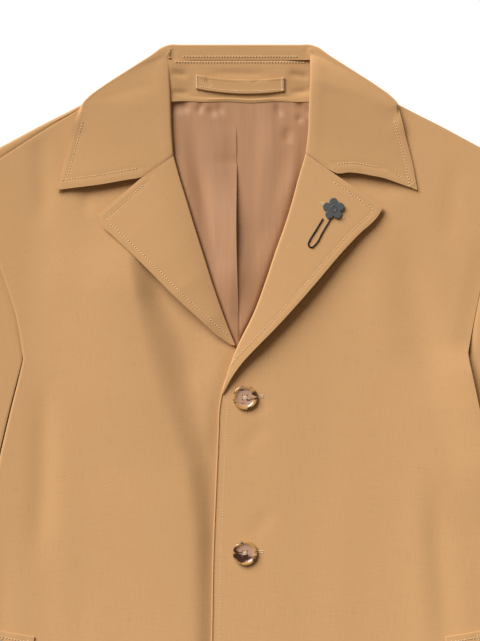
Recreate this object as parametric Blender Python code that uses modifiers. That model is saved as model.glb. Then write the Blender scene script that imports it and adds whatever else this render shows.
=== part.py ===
"""Shirt jacket laid flat on its back, its collar and both lapels turned out.

X runs across the garment, with the wearer's left at +X, +Y runs up to the collar
and +Z is the face that shows. A place is given by x, by how far down it lies from
the collar's fold, and by its height over the surface that the jacket rests on.
Every piece that a maker would cut is one object, and the cloth walls are sheets
between named outlines, thickened inwards from their outer faces.
"""
import math
from collections import namedtuple

import bmesh
import bpy
from mathutils import Vector
from mathutils.geometry import intersect_line_line_2d

# ---- driving sizes, metres ---------------------------------------------------
LENGTH = 0.858          # collar fold to hem
CLOTH = 0.0016          # wall of one layer of the woven cloth
DOUBLE = 0.0022         # wall of the collar, which is two layers sewn together
LINING = 0.0010         # wall of the lining
GAP = 0.0003            # clearance between pieces that touch
SEAM = 0.0005           # distance between the edges of two panels at a seam
SHOULDER_SEAM = 0.0017  # the same where the shoulder seam runs along the roll of the back
RIM_DIP = 0.0007        # how far the wall of a rounded edge dips below its outer face
FRONT_TOP = 0.0068      # outer face of a front that lies on the back
EDGE_ROUND = 0.0055     # how far in from a folded edge the upper layer rounds off
COLLAR_LIFT = DOUBLE + GAP      # the back rises this far over the collar's fall
OVERLAP_LIFT = CLOTH + GAP      # the left front rises this far over the right one

BUTTON_DIAMETER = 0.0256
BUTTON_HEIGHT = 0.0034
BUTTON_X = 0.0053
BUTTON_DOWNS = (0.3683, 0.5303, 0.6923)

LOOP_LENGTH = 0.0925    # hanger loop inside the neck
LOOP_WIDTH = 0.0140
LOOP_DOWN = 0.0403
LOOP_SAG = 0.0040
LOOP_BOW = 0.0024

WELT_LENGTH = 0.170     # slanted pocket welts
WELT_WIDTH = 0.040
WELT_CORNER = (0.214, 0.618)
WELT_SLANT = math.radians(9.5)

PIN_PLACE = (0.0970, 0.1722)
PIN_RADIUS = 0.0108
PIN_HEIGHT = 0.0022
WIRE_RADIUS = 0.0006

# ---- outlines: (x, down) from one end to the other, x counted outwards ---------
Half = namedtuple("Half", "name sign shoulder armhole side inner roll edge gorge sleeve_in sleeve_out")

RIGHT = Half(
    name="right", sign=-1,
    shoulder=[(0.0865, 0.0455), (0.156, 0.0830), (0.168, 0.0830), (0.177, 0.0775), (0.2505, 0.1215),
              (0.2775, 0.1400)],
    armhole=[(0.284, 0.123), (0.264, 0.195), (0.2505, 0.234), (0.234, 0.285), (0.2265, 0.328)],
    side=[(0.2265, 0.328), (0.238, 0.385), (0.2505, 0.4375), (0.272, 0.560), (0.287, 0.700), (0.297, 0.858)],
    inner=[(0.0865, 0.0455), (0.081, 0.080), (0.0730, 0.116), (0.0590, 0.160), (0.0375, 0.221),
           (0.0155, 0.287), (0.0050, 0.316), (-0.012, 0.345), (-0.022, 0.400), (-0.022, 0.858)],
    roll=[(0.0690, 0.1162), (0.0623, 0.1406), (0.0565, 0.1594), (0.0477, 0.1885), (0.0375, 0.2208),
          (0.0273, 0.2531), (0.0155, 0.2865), (0.0048, 0.3140)],
    edge=[(0.1480, 0.1785), (0.1440, 0.1885), (0.1310, 0.2010), (0.1150, 0.2160), (0.0930, 0.2375),
          (0.0640, 0.2667), (0.0422, 0.2865), (0.0245, 0.3030), (0.0108, 0.3130)],
    gorge=[(0.0690, 0.1156), (0.1020, 0.1388), (0.1450, 0.1465), (0.1912, 0.1521)],
    sleeve_in=[(0.2273, 0.3290), (0.2394, 0.385), (0.2521, 0.4375), (0.2790, 0.560), (0.326, 0.758)],
    sleeve_out=[(0.2848, 0.1232), (0.360, 0.203), (0.414, 0.290), (0.443, 0.430), (0.470, 0.725)],
)
LEFT = Half(
    name="left", sign=1,
    shoulder=[(0.0865, 0.038), (0.156, 0.0755), (0.1665, 0.0755), (0.174, 0.0690), (0.2505, 0.106),
              (0.284, 0.123)],
    armhole=[(0.284, 0.123), (0.266, 0.195), (0.256, 0.234), (0.247, 0.275), (0.238, 0.321)],
    side=[(0.238, 0.321), (0.2495, 0.376), (0.262, 0.4375), (0.279, 0.560), (0.291, 0.700), (0.297, 0.858)],
    inner=[(0.0865, 0.038), (0.081, 0.080), (0.0730, 0.114), (0.0580, 0.160), (0.0385, 0.216),
           (0.0165, 0.278), (-0.0015, 0.3165), (-0.0185, 0.369), (-0.0270, 0.510), (-0.0310, 0.622),
           (-0.0360, 0.800), (-0.0340, 0.858)],
    roll=[(0.0685, 0.1140), (0.0605, 0.1406), (0.0547, 0.1625), (0.0474, 0.1865), (0.0370, 0.2156),
          (0.0266, 0.2469), (0.0151, 0.2781), (-0.0030, 0.3167), (-0.0150, 0.3500)],
    edge=[(0.1490, 0.1700), (0.1430, 0.1800), (0.1240, 0.1980), (0.1060, 0.2170), (0.0810, 0.2450),
          (0.0590, 0.2700), (0.0370, 0.2940), (0.0100, 0.3240), (-0.0060, 0.3520)],
    gorge=[(0.0685, 0.1134), (0.0984, 0.1353), (0.1170, 0.1335), (0.1500, 0.1396), (0.1850, 0.1520)],
    sleeve_in=[(0.2388, 0.3220), (0.2509, 0.376), (0.2636, 0.4375), (0.2860, 0.560), (0.326, 0.758)],
    sleeve_out=[(0.2848, 0.1232), (0.360, 0.203), (0.414, 0.290), (0.443, 0.430), (0.470, 0.725)],
)
HALVES = (RIGHT, LEFT)

# One row for each section of half the collar, from the gorge to the middle of the back.
# "turn" is where the section passes over the shoulder's edge, and None where it does not.
CollarRow = namedtuple("CollarRow", "fold fold_height turn edge spread")
COLLAR_ROWS = [
    CollarRow((0.0705, 0.095), 0.0165, None, (0.1805, 0.127), 0.035),
    CollarRow((0.0715, 0.070), 0.0180, None, (0.1735, 0.100), 0.025),
    CollarRow((0.0720, 0.045), 0.0185, None, (0.1667, 0.074), 0.006),
    CollarRow((0.0725, 0.031), 0.0185, (0.1640, 0.0628), (0.1610, 0.0715), 0.0),
    CollarRow((0.0725, 0.021), 0.0180, (0.1470, 0.0510), (0.1430, 0.0765), 0.0),
    CollarRow((0.0715, 0.013), 0.0170, (0.1250, 0.0357), (0.1180, 0.0780), 0.0),
    CollarRow((0.0690, 0.008), 0.0150, (0.1000, 0.0175), (0.0900, 0.0785), 0.0),
    CollarRow((0.0640, 0.0065), 0.0130, (0.0790, 0.0035), (0.0680, 0.0775), 0.0),
    CollarRow((0.0520, 0.0065), 0.0122, (0.0540, 0.0000), (0.0450, 0.0770), 0.0),
    CollarRow((0.0260, 0.0065), 0.0120, (0.0260, 0.0000), (0.0220, 0.0760), 0.0),
]
# How much further out a leaf's free edge lies than the rows say, from the gorge on.
LEAF_REACH = {"right": (0.0036, 0.0028, 0.0010), "left": (0.0, 0.0, 0.0)}
COLLAR_MIDDLE = CollarRow((0.0, 0.0065), 0.0120, (0.0, 0.0000), (0.0, 0.0755), 0.0)
COLLAR_FRONT_HEIGHT = 0.0160    # height of the fold at the gorge
COLLAR_FRONT_SPREAD = 0.040
LAPEL_GAP = 0.0005              # clearance of a lapel over its front, which curves
ROLL_FADE = 0.027               # how far in from its roll a lapel comes down
COLLAR_INSIDE_DOWN = 0.0167     # where the collar meets the stand inside the neck
STAND_FOOT_DOWN = 0.0590
STAND_HALF = 0.0755             # half its length, with its ends under the collar's fold
STAND_TOP = 0.0090
STAND_FALL = 0.0016


def spot(x, down, z=0.0):
    """The point at x, so far down from the collar's fold, at height z."""
    return Vector((x, LENGTH / 2 - down, z))


def down_of(point):
    return LENGTH / 2 - point.y


def ease(value, start, end):
    """0 at start, 1 at end, with soft shoulders."""
    share = min(1.0, max(0.0, (value - start) / (end - start)))
    return share * share * (3 - 2 * share)


def even(count):
    return [i / (count - 1) for i in range(count)]


def outline(table, sign, shares, soft=True):
    """Points at the given shares of the length of a table of (x, down) places."""
    places = [spot(sign * x, down) for x, down in table]
    if soft and len(places) > 2:
        places = soften(places)
    return along(places, shares)


def soften(places, steps=8):
    """A Catmull-Rom curve through the places."""
    padded = [2 * places[0] - places[1], *places, 2 * places[-1] - places[-2]]
    curve = [places[0].copy()]
    for a, b, c, d in zip(padded, padded[1:], padded[2:], padded[3:]):
        for step in range(1, steps + 1):
            t = step / steps
            curve.append(0.5 * (2 * b + (c - a) * t + (2 * a - 5 * b + 4 * c - d) * t * t
                                + (3 * b - a - 3 * c + d) * t * t * t))
    return curve


def along(places, shares):
    """Points at shares of a polyline's length."""
    marks = [0.0]
    for a, b in zip(places, places[1:]):
        marks.append(marks[-1] + (b - a).length)
    points = []
    span = 0
    for share in shares:
        target = share * marks[-1]
        while span < len(places) - 2 and marks[span + 1] < target:
            span += 1
        part = (target - marks[span]) / max(marks[span + 1] - marks[span], 1e-9)
        points.append(places[span].lerp(places[span + 1], min(1.0, max(0.0, part))))
    return points


def patch(head, foot, inner, outer, across, downs):
    """A Coons patch: rows run from the inner edge to the outer one."""
    rows = []
    for i, v in enumerate(downs):
        row = []
        for j, u in enumerate(across):
            between_ends = head[j].lerp(foot[j], v)
            between_sides = inner[i].lerp(outer[i], u)
            corners = head[0].lerp(head[-1], u).lerp(foot[0].lerp(foot[-1], u), v)
            row.append(between_ends + between_sides - corners)
        rows.append(row)
    return rows


def rounded(distance):
    """Share of the full height at a distance from an edge that rounds off."""
    short = 1 - min(1.0, distance / EDGE_ROUND)
    return math.sqrt(max(0.0, 1 - short * short))


# ---- materials and objects ----------------------------------------------------
def finish(name, colour, roughness, metallic=0.0):
    material = bpy.data.materials.new(name)
    material.use_nodes = True
    shader = material.node_tree.nodes["Principled BSDF"]
    shader.inputs["Base Color"].default_value = (*colour, 1.0)
    shader.inputs["Roughness"].default_value = roughness
    shader.inputs["Metallic"].default_value = metallic
    return material


def add_object(name, mesh, material, collection):
    piece = bpy.data.objects.new(name, mesh)
    collection.objects.link(piece)
    mesh.materials.append(material)
    return piece


def sheet(name, grids, wall, material, collection, grow=-1.0, even_wall=True):
    """One sheet of cloth from grids of points that share their borders.

    The points lie on the outer face and the wall grows inwards; grow=1 puts it on
    the other side, for a panel whose points lie on the surface beneath it.
    """
    shape = bmesh.new()
    for rows in grids:
        rings = [[shape.verts.new(point) for point in row] for row in rows]
        for ring, following in zip(rings, rings[1:]):
            for a, b, c, d in zip(ring, ring[1:], following[1:], following):
                shape.faces.new((a, b, c, d))
    bmesh.ops.remove_doubles(shape, verts=shape.verts, dist=0.00002)
    bmesh.ops.recalc_face_normals(shape, faces=shape.faces)
    highest = max(shape.faces, key=lambda face: face.calc_center_median().z)
    if highest.normal.z < 0:
        bmesh.ops.reverse_faces(shape, faces=shape.faces)
    mesh = bpy.data.meshes.new(name)
    shape.to_mesh(mesh)
    shape.free()
    mesh.shade_smooth()
    piece = add_object(name, mesh, material, collection)
    thick = piece.modifiers.new("wall", "SOLIDIFY")
    thick.thickness = wall
    thick.offset = grow
    thick.use_even_offset = even_wall
    return piece


# ---- heights of the panels that lie on each other ------------------------------
def back_under(x, down):
    """Under face of the back, which rises over the fall of the collar."""
    return COLLAR_LIFT * (1 - ease(down, 0.091, 0.112)) * (1 - ease(abs(x), 0.166, 0.182))


def front_face(half, x, down):
    """Outer face of a front, which rises where the left front overlaps the right."""
    lift = 0.0
    if half.sign > 0:
        lift = OVERLAP_LIFT * (1 - ease(x, 0.030, 0.100)) * ease(down, 0.180, 0.260)
    return FRONT_TOP + lift


def rim_height(x, down):
    """Where an upper layer's folded edge stands on the back."""
    return back_under(x, down) + CLOTH + GAP + RIM_DIP


# ---- body panels ---------------------------------------------------------------
BACK_SHARES = (0, 0.07, 0.13, 0.183, 0.222, 0.29, 0.355, 0.43, 0.5)
ACROSS_BODY = (0, 0.10, 0.22, 0.36, 0.415, 0.46, 0.60, 0.74, 0.85, 0.93, 0.97, 0.988, 0.996, 1)
SLEEVE_SHARES = (0, 0.008, 0.03, 0.085, 1 / 6, 2 / 6, 3 / 6, 4 / 6, 5 / 6, 0.92, 0.97, 0.992, 1)
LINING_DELAY = 0.008            # how much further down the lining comes off the collar's rise
ARMHOLE_SHARES = (0, 0.085, 1 / 6, 2 / 6, 3 / 6, 4 / 6, 5 / 6, 1)
SIDE_SHARES = (0.05, 0.12, 0.22, 0.36, 0.52, 0.68, 0.84, 1)


def outer_edge(half, first=0):
    """Armhole and then side seam, from one of the armhole's points on."""
    armhole = outline(half.armhole, half.sign, ARMHOLE_SHARES[first:])
    return armhole + outline(half.side, half.sign, SIDE_SHARES)


def shares_of(points):
    """The share of the whole length at each point."""
    marks = [0.0]
    for a, b in zip(points, points[1:]):
        marks.append(marks[-1] + (b - a).length)
    return [mark / marks[-1] for mark in marks]


def insert_rows(edge):
    """More rows below the shoulders, where the back comes down off the collar."""
    return [edge[0], *along(edge[:2], (0.45,)), *along(edge[:3], (0.42,)), *edge[1:2],
            *along(edge[1:3], (0.5,)), *edge[2:]]


def front(half, material, collection):
    """One front, from the shoulder seam to the hem."""
    rolls_at_shoulder = half.sign > 0
    outer = outer_edge(half, 0 if rolls_at_shoulder else 1)
    downs = shares_of(outer)
    if rolls_at_shoulder:
        extra = [share * downs[1] for share in (0.02, 0.06, 0.16)]
        head_side = along(outer[:2], [0.02, 0.06, 0.16])
        outer = [outer[0], *head_side, *outer[1:]]
        downs = [0.0, *extra, *downs[1:]]
    inner = outline(half.inner, half.sign, downs)
    head = outline(half.shoulder, half.sign, ACROSS_BODY, soft=False)
    head[-1] = outer[0].copy()
    foot = along([inner[-1], outer[-1]], ACROSS_BODY)
    rows = patch(head, foot, inner, outer, ACROSS_BODY, downs)
    side_start = half.side[0][1]
    for i, row in enumerate(rows):
        side_part = ease(down_of(row[-1]), side_start - 0.004, side_start + 0.030)
        for j, point in enumerate(row):
            x, down = point.x, down_of(point)
            low = rim_height(x, down)
            height = front_face(half, x, down) - low
            share = 1 - side_part * (1 - rounded((point - outer[i]).length))
            if rolls_at_shoulder:
                share = min(share, rounded((point - rows[0][j]).length))
            point.z = low + height * share
    return sheet(f"front_{half.name}", [rows], CLOTH, material, collection)


def back(material, collection):
    """The back, whose right shoulder rolls over to the front as far as its seam."""
    across = BACK_SHARES + tuple(1 - share for share in reversed(BACK_SHARES[:-1]))
    left_edge, right_edge = [insert_rows(outer_edge(half)) for half in (LEFT, RIGHT)]
    downs = shares_of(right_edge)
    neck = [(-0.085, 0.036), (-0.050, 0.0510), (0.0, 0.0540), (0.050, 0.0510), (0.085, 0.036)]
    top = [(-x, down) for x, down in reversed(LEFT.shoulder[1:])] + neck + LEFT.shoulder[1:]
    head = outline(top, 1, across, soft=False)
    head[0], head[-1] = right_edge[0].copy(), left_edge[0].copy()
    foot = along([right_edge[-1], left_edge[-1]], across)
    rows = patch(head, foot, right_edge, left_edge, across, downs)
    for row in rows:
        for point in row:
            point.z = back_under(point.x, down_of(point))
    roll = [shoulder_roll(point) for point in rows[0] if point.x < -0.086]
    turned = [list(column) for column in zip(*roll)]
    turned[0] = [point for point in rows[0] if point.x < -0.086]
    return sheet("back", [rows, turned], CLOTH, material, collection)


def shoulder_roll(point):
    """From the right shoulder's edge over to the seam on the front, in one column."""
    inwards = Vector((0.42, -0.91, 0))
    radius = (FRONT_TOP - point.z) / 2
    column = [point]
    for angle in (45, 90, 135, 180):
        turn = math.radians(angle)
        back_in = radius * (0.4 + 0.3 * math.sin(turn)) if angle > 90 else 0.0
        column.append(point + inwards * back_in + Vector((0, 0, radius * (1 - math.cos(turn)))))
    end = point + inwards * max(seam_distance(point, inwards) - SHOULDER_SEAM, 0.0045)
    column.append(lift(end, FRONT_TOP))
    return column


def seam_distance(point, direction):
    """How far the right shoulder's seam lies from a point, in plan."""
    seam = [spot(-x, down) for x, down in RIGHT.shoulder]
    seam = [seam[0] + Vector((0.05, 0.02, 0)), *seam, seam[-1] + (seam[-1] - seam[-2])]
    for a, b in zip(seam, seam[1:]):
        meeting = intersect_line_line_2d(point.xy, (point + direction * 0.08).xy, a.xy, b.xy)
        if meeting:
            return (meeting - point.xy).length
    raise ValueError("the shoulder's column misses its seam")


def lining(material, collection):
    """The back's lining, as far as it shows inside the open neck."""
    table = [(0.0765, 0.0545), (0.0745, 0.091), (0.090, 0.130), (0.066, 0.250), (0.030, 0.345)]
    shares = even(12)
    across = even(9)
    left_rail = outline(table, 1, shares)
    right_rail = outline(table, -1, shares)
    head = along([right_rail[0], left_rail[0]], across)
    foot = along([right_rail[-1], left_rail[-1]], across)
    rows = patch(head, foot, right_rail, left_rail, across, shares)
    for row in rows:
        for point in row:
            point.z = back_under(point.x, down_of(point) - LINING_DELAY) + CLOTH + GAP
    return sheet("back_lining", [rows], LINING, material, collection, grow=1.0)


def sleeve(half, material, collection):
    """Two panels: the under one lies on the surface, the upper one on its rim."""
    shares = even(13)
    across = [1 - share for share in reversed(SLEEVE_SHARES)]
    armhole = outline(half.armhole, half.sign, ARMHOLE_SHARES)
    head = [place + Vector((half.sign * SEAM, 0, 0)) for place in reversed(along(armhole, SLEEVE_SHARES))]
    inner = outline(half.sleeve_in, half.sign, shares)
    outer = outline(half.sleeve_out, half.sign, shares)
    head[0], head[-1] = inner[0].copy(), outer[0].copy()
    foot = along([inner[-1], outer[-1]], across)
    flat = patch(head, foot, inner, outer, across, shares)
    few = [k for k, share in enumerate(across) if share in (0, 1) or 0.1 < share < 0.95]
    under = sheet(f"sleeve_{half.name}_under", [[[row[k] for k in few] for row in flat]], CLOTH, material,
                  collection, grow=1.0)
    upper_rows = [[point.copy() for point in row] for row in flat]
    for i, row in enumerate(upper_rows):
        for point in row:
            low = CLOTH + GAP + RIM_DIP
            from_edge = min((point - flat[i][0]).length, (point - flat[i][-1]).length)
            open_edge = 1 - ease(shares[i], 0.0, 0.08)
            at_side = rounded(from_edge)
            share = at_side + (1 - at_side) * open_edge * ease(from_edge, -0.001, 0.012)
            point.z = low + (FRONT_TOP - low) * share
    upper = sheet(f"sleeve_{half.name}_upper", [upper_rows], CLOTH, material, collection)
    return under, upper


# ---- lapels, collar and stand ----------------------------------------------------
def lapel(half, material, collection):
    """A lapel: it hooks round at the roll line and lies on its front to its edge."""
    shares = even(15)
    rolls = outline(half.roll, half.sign, shares)
    edges = outline(half.edge, half.sign, shares)
    rows = []
    for share, roll, edge in zip(shares, rolls, edges):
        width = (edge - roll).length
        outwards = (edge - roll) / width
        radius = min(0.0040 - 0.0012 * share, width / 2.6)
        low = front_face(half, roll.x, down_of(roll)) + LAPEL_GAP
        row = [lift(roll + outwards * (radius + 0.0010), low)]
        for angle in (0, 45, 90, 135, 180):
            turn = math.radians(angle)
            place = roll + outwards * radius * (1 - math.sin(turn))
            row.append(lift(place, low + radius * (1 - math.cos(turn))))
        for part in (0.12, 0.28, 0.46, 0.64, 0.82, 1.0):
            place = roll + outwards * (radius + (width - radius) * part)
            rest = front_face(half, place.x, down_of(place)) + LAPEL_GAP + CLOTH
            fade = (1 - ease((width - radius) * part, 0.0, min(ROLL_FADE, width)))
            row.append(lift(place, rest + max(0.0, low + 2 * radius - rest) * fade))
        rows.append(row)
    return sheet(f"lapel_{half.name}", [rows], CLOTH, material, collection)


def lift(place, height):
    return Vector((place.x, place.y, height))


def collar_section(sign, fold, height, turn, edge, spread, path=None):
    """One section of the collar, from its inner seam over the fold to its outer edge."""
    leaf_top = FRONT_TOP + GAP + DOUBLE
    fold_place = spot(sign * fold[0], fold[1])
    points = []
    behind = turn is not None and fold[1] <= 0.0066
    if behind:
        start = spot(sign * fold[0] * 0.985, COLLAR_INSIDE_DOWN, STAND_TOP + 0.0004)
        points += along([start, lift(fold_place, height)], (0, 0.25, 0.5, 0.75, 1))
    else:
        out = Vector((sign, 0, 0))
        start = lift(fold_place + out * 0.0045, height - 0.0085)
        reach = lift(fold_place - out * 0.0040, height - 0.0042)
        end = lift(fold_place + out * 0.0050, height)
        for t in even(5):
            points.append(start * (1 - t) ** 2 + reach * 2 * t * (1 - t) + end * t * t)
    first = points[-1]
    if turn is None:
        route = [first, *[spot(sign * x, down) for x, down in (path or [edge])]]
        for place in route[1:]:
            place.z = leaf_top
        whole = sum((b - a).length for a, b in zip(route, route[1:]))
        near = [k / 7 * (whole - spread) / whole for k in range(1, 7)]
        tail = [(whole - spread + spread * k / 9) / whole for k in range(0, 10)]
        stretch = along(route, near + tail)
        base = lift(first, 0)
        for place in stretch:
            away = (lift(place, 0) - base).length
            place.z = leaf_top + (height - leaf_top) * (1 - ease(away, -0.004, 0.060))
        return points + stretch
    over = spot(sign * turn[0], turn[1])
    top = min(height, 0.0120)
    radius = top / 2
    inwards = Vector((0, -1, 0)) if behind else Vector((-sign * 0.568, -0.823, 0))
    if not behind and fold[0] < 0.0705:
        inwards = Vector((-sign * 0.35, -0.937, 0))
    centre = over + inwards * radius
    upper_end = lift(centre, top)
    reach_over = (upper_end - first).length
    for share in [k / 7 for k in range(1, 7)]:
        place = first.lerp(upper_end, share)
        away = reach_over * share
        place.z = top + (height - top) * (1 - ease(away, -0.004, min(0.060, reach_over)))
        points.append(place)
    for angle in (0, 45, 90, 135, 180):
        bend = math.radians(angle)
        place = centre - inwards * radius * math.sin(bend)
        points.append(lift(place, radius * (1 + math.cos(bend))))
    points += along([lift(centre, 0), spot(sign * edge[0], edge[1])], (0.2, 0.4, 0.6, 0.8, 1))
    return points


def collar(material, collection):
    """The collar in one piece, from the right gorge round the back to the left one."""
    def half_rows(half):
        front_edge = half.gorge
        rows = [collar_section(half.sign, front_edge[0], COLLAR_FRONT_HEIGHT, None, front_edge[-1],
                               COLLAR_FRONT_SPREAD, front_edge[1:])]
        for k, row in enumerate(COLLAR_ROWS):
            edge = row.edge
            if k < len(LEAF_REACH[half.name]):
                edge = (edge[0] + LEAF_REACH[half.name][k], edge[1])
            rows.append(collar_section(half.sign, row.fold, row.fold_height, row.turn, edge, row.spread))
        return rows
    middle = COLLAR_MIDDLE
    rows = half_rows(RIGHT)
    rows.append(collar_section(1, middle.fold, middle.fold_height, middle.turn, middle.edge, 0.0))
    rows += reversed(half_rows(LEFT))
    return sheet("collar", [rows], DOUBLE, material, collection, even_wall=False)


def stand_face(down):
    """Upper face of the stand inside the neck, which passes under the collar's fold."""
    return STAND_TOP - STAND_FALL * ease(down, COLLAR_INSIDE_DOWN, STAND_FOOT_DOWN)


def stand(material, collection):
    across = even(13)
    downs = even(5)
    top = COLLAR_INSIDE_DOWN + SEAM
    head = along([spot(-STAND_HALF, top), spot(STAND_HALF, top)], across)
    foot = along([spot(-STAND_HALF, STAND_FOOT_DOWN), spot(STAND_HALF, STAND_FOOT_DOWN)], across)
    sides = [along([head[k], foot[k]], downs) for k in (0, -1)]
    rows = patch(head, foot, sides[0], sides[1], across, downs)
    for row in rows:
        for point in row:
            point.z = stand_face(down_of(point))
    return sheet("collar_stand", [rows], CLOTH, material, collection)


def hanger_loop(material, collection):
    """A strip of cloth tacked at both ends and bowed between them."""
    rows = []
    for share in even(13):
        x = (share - 0.5) * LOOP_LENGTH
        hang = 4 * share * (1 - share)
        row = []
        for side in even(3):
            down = LOOP_DOWN + LOOP_SAG * hang + (side - 0.5) * LOOP_WIDTH
            row.append(spot(x, down, stand_face(down) + GAP + LOOP_BOW * hang))
        rows.append(row)
    return sheet("hanger_loop", [rows], CLOTH, material, collection, grow=1.0)


# ---- what lies on the fronts -----------------------------------------------------
def welt(half, material, collection):
    """A slanted pocket welt, made from the front's own face."""
    rows = []
    lengthwise = Vector((math.sin(WELT_SLANT), math.cos(WELT_SLANT)))
    crosswise = Vector((math.cos(WELT_SLANT), -math.sin(WELT_SLANT)))
    for share in even(6):
        row = []
        for side in even(3):
            place = Vector(WELT_CORNER) + lengthwise * WELT_LENGTH * share + crosswise * WELT_WIDTH * side
            x = half.sign * place.x
            row.append(spot(x, place.y, front_face(half, x, place.y) + GAP))
        rows.append(row)
    return sheet(f"pocket_welt_{half.name}", [rows], CLOTH, material, collection, grow=1.0)


def turned_button(material, collection):
    """A four-hole button with a rim and a dished middle, at the origin."""
    radius = BUTTON_DIAMETER / 2
    profile = [(0.0, 0.62), (0.42, 0.66), (0.62, 0.80), (0.76, 1.0), (0.88, 0.97), (0.97, 0.72), (1.0, 0.45),
               (0.93, 0.14), (0.70, 0.0), (0.0, 0.0)]
    mesh = bpy.data.meshes.new("button")
    points = [(radius * across, 0.0, BUTTON_HEIGHT * up) for across, up in profile]
    mesh.from_pydata(points, [(k, k + 1) for k in range(len(points) - 1)], [])
    blank = add_object("button_1", mesh, material, collection)
    turning = blank.modifiers.new("turning", "SCREW")
    turning.steps = 28
    turning.render_steps = 28
    turning.use_merge_vertices = True
    turning.merge_threshold = 0.00001
    turning.use_normal_calculate = True
    return blank


def drill(button, cutters):
    """Four thread holes through a button."""
    reach, radius = 0.0021, 0.0010
    shape = bmesh.new()
    for sx in (-1, 1):
        for sy in (-1, 1):
            made = bmesh.ops.create_cone(shape, cap_ends=True, segments=10, radius1=radius, radius2=radius,
                                         depth=0.02)
            bmesh.ops.translate(shape, verts=made["verts"], vec=(sx * reach, sy * reach, 0))
    mesh = bpy.data.meshes.new("hole_tool")
    shape.to_mesh(mesh)
    shape.free()
    tool = bpy.data.objects.new("hole_tool", mesh)
    cutters.objects.link(tool)
    tool.display_type = "WIRE"
    tool.hide_render = True
    cut = button.modifiers.new("thread holes", "BOOLEAN")
    cut.operation = "DIFFERENCE"
    cut.solver = "EXACT"
    cut.object = tool
    return tool


def buttons(material, collection, cutters):
    first = turned_button(material, collection)
    drill(first, cutters)
    bpy.context.view_layer.update()
    graph = bpy.context.evaluated_depsgraph_get()
    solid = bpy.data.meshes.new_from_object(first.evaluated_get(graph))
    solid.shade_smooth()
    solid.set_sharp_from_angle(angle=math.radians(40))
    first.modifiers.clear()
    first.data = solid
    pieces = [first]
    for number in range(2, len(BUTTON_DOWNS) + 1):
        pieces.append(first.copy())
        pieces[-1].name = f"button_{number}"
        collection.objects.link(pieces[-1])
    for piece, down in zip(pieces, BUTTON_DOWNS):
        piece.location = spot(BUTTON_X, down, front_face(LEFT, BUTTON_X, down) + GAP)
    for tool in list(cutters.objects):
        bpy.data.objects.remove(tool)
    return pieces


def flower(material, collection):
    """A plain five-petal flower worn on the left lapel."""
    curve = bpy.data.curves.new("lapel_flower", "CURVE")
    curve.dimensions = "2D"
    curve.fill_mode = "BOTH"
    curve.extrude = PIN_HEIGHT / 2
    line = curve.splines.new("POLY")
    steps = 50
    line.points.add(steps - 1)
    for k in range(steps):
        turn = math.tau * k / steps
        reach = PIN_RADIUS * (0.80 + 0.20 * math.cos(5 * turn))
        line.points[k].co = (reach * math.sin(turn), reach * math.cos(turn), 0, 1)
    line.use_cyclic_u = True
    outline_object = bpy.data.objects.new("flower_outline", curve)
    collection.objects.link(outline_object)
    bpy.context.view_layer.update()
    graph = bpy.context.evaluated_depsgraph_get()
    mesh = bpy.data.meshes.new_from_object(outline_object.evaluated_get(graph))
    bpy.data.objects.remove(outline_object)
    shape = bmesh.new()
    shape.from_mesh(mesh)
    bmesh.ops.remove_doubles(shape, verts=shape.verts, dist=0.00001)
    bmesh.ops.recalc_face_normals(shape, faces=shape.faces)
    shape.to_mesh(mesh)
    shape.free()
    piece = add_object("lapel_flower", mesh, material, collection)
    lapel_top = FRONT_TOP + LAPEL_GAP + CLOTH
    piece.location = spot(PIN_PLACE[0], PIN_PLACE[1], lapel_top + 2 * GAP + PIN_HEIGHT / 2)
    return piece


def pin_wire(material, collection):
    """The pin's wire, a long narrow bow below the flower."""
    x, down = PIN_PLACE
    table = [(x - 0.0030, down + 0.0112), (x - 0.0110, down + 0.0245), (x - 0.0195, down + 0.0385),
             (x - 0.0225, down + 0.0408), (x - 0.0255, down + 0.0398), (x - 0.0262, down + 0.0368),
             (x - 0.0250, down + 0.0340), (x - 0.0180, down + 0.0225), (x - 0.0110, down + 0.0108)]
    curve = bpy.data.curves.new("pin_wire", "CURVE")
    curve.dimensions = "3D"
    curve.bevel_depth = WIRE_RADIUS
    curve.bevel_resolution = 2
    curve.use_fill_caps = True
    line = curve.splines.new("POLY")
    route = outline(table, 1, even(26))
    line.points.add(len(route) - 1)
    height = FRONT_TOP + 2 * GAP + CLOTH + WIRE_RADIUS + 0.0002
    for point, place in zip(line.points, route):
        point.co = (place.x, place.y, height, 1)
    piece = bpy.data.objects.new("pin_wire", curve)
    collection.objects.link(piece)
    curve.materials.append(material)
    return piece


def main():
    for old in list(bpy.data.objects):
        bpy.data.objects.remove(old)
    jacket = bpy.data.collections.new("shirt_jacket")
    cutters = bpy.data.collections.new("cutters")
    bpy.context.scene.collection.children.link(jacket)
    bpy.context.scene.collection.children.link(cutters)

    cloth = finish("camel_cloth", (0.61, 0.35, 0.16), 0.85)
    satin = finish("tan_lining", (0.52, 0.29, 0.15), 0.45)
    horn = finish("horn_button", (0.36, 0.20, 0.11), 0.25)
    slate = finish("slate_enamel", (0.05, 0.06, 0.07), 0.35)
    steel = finish("dark_wire", (0.08, 0.08, 0.08), 0.35, 0.9)

    back(cloth, jacket)
    lining(satin, jacket)
    for half in HALVES:
        front(half, cloth, jacket)
        sleeve(half, cloth, jacket)
        lapel(half, cloth, jacket)
        welt(half, cloth, jacket)
    stand(cloth, jacket)
    collar(cloth, jacket)
    hanger_loop(cloth, jacket)
    buttons(horn, jacket, cutters)
    flower(slate, jacket)
    pin_wire(steel, jacket)


main()
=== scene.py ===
"""Looks of a camel shirt jacket laid flat on its back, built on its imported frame.

X runs across the garment, with the wearer's left at +X, +Y runs up to the collar and
+Z is the face that shows. Places are given as (x, down), where down is counted from
the collar's fold towards the hem, all in metres.
"""
import math
from collections import namedtuple

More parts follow.
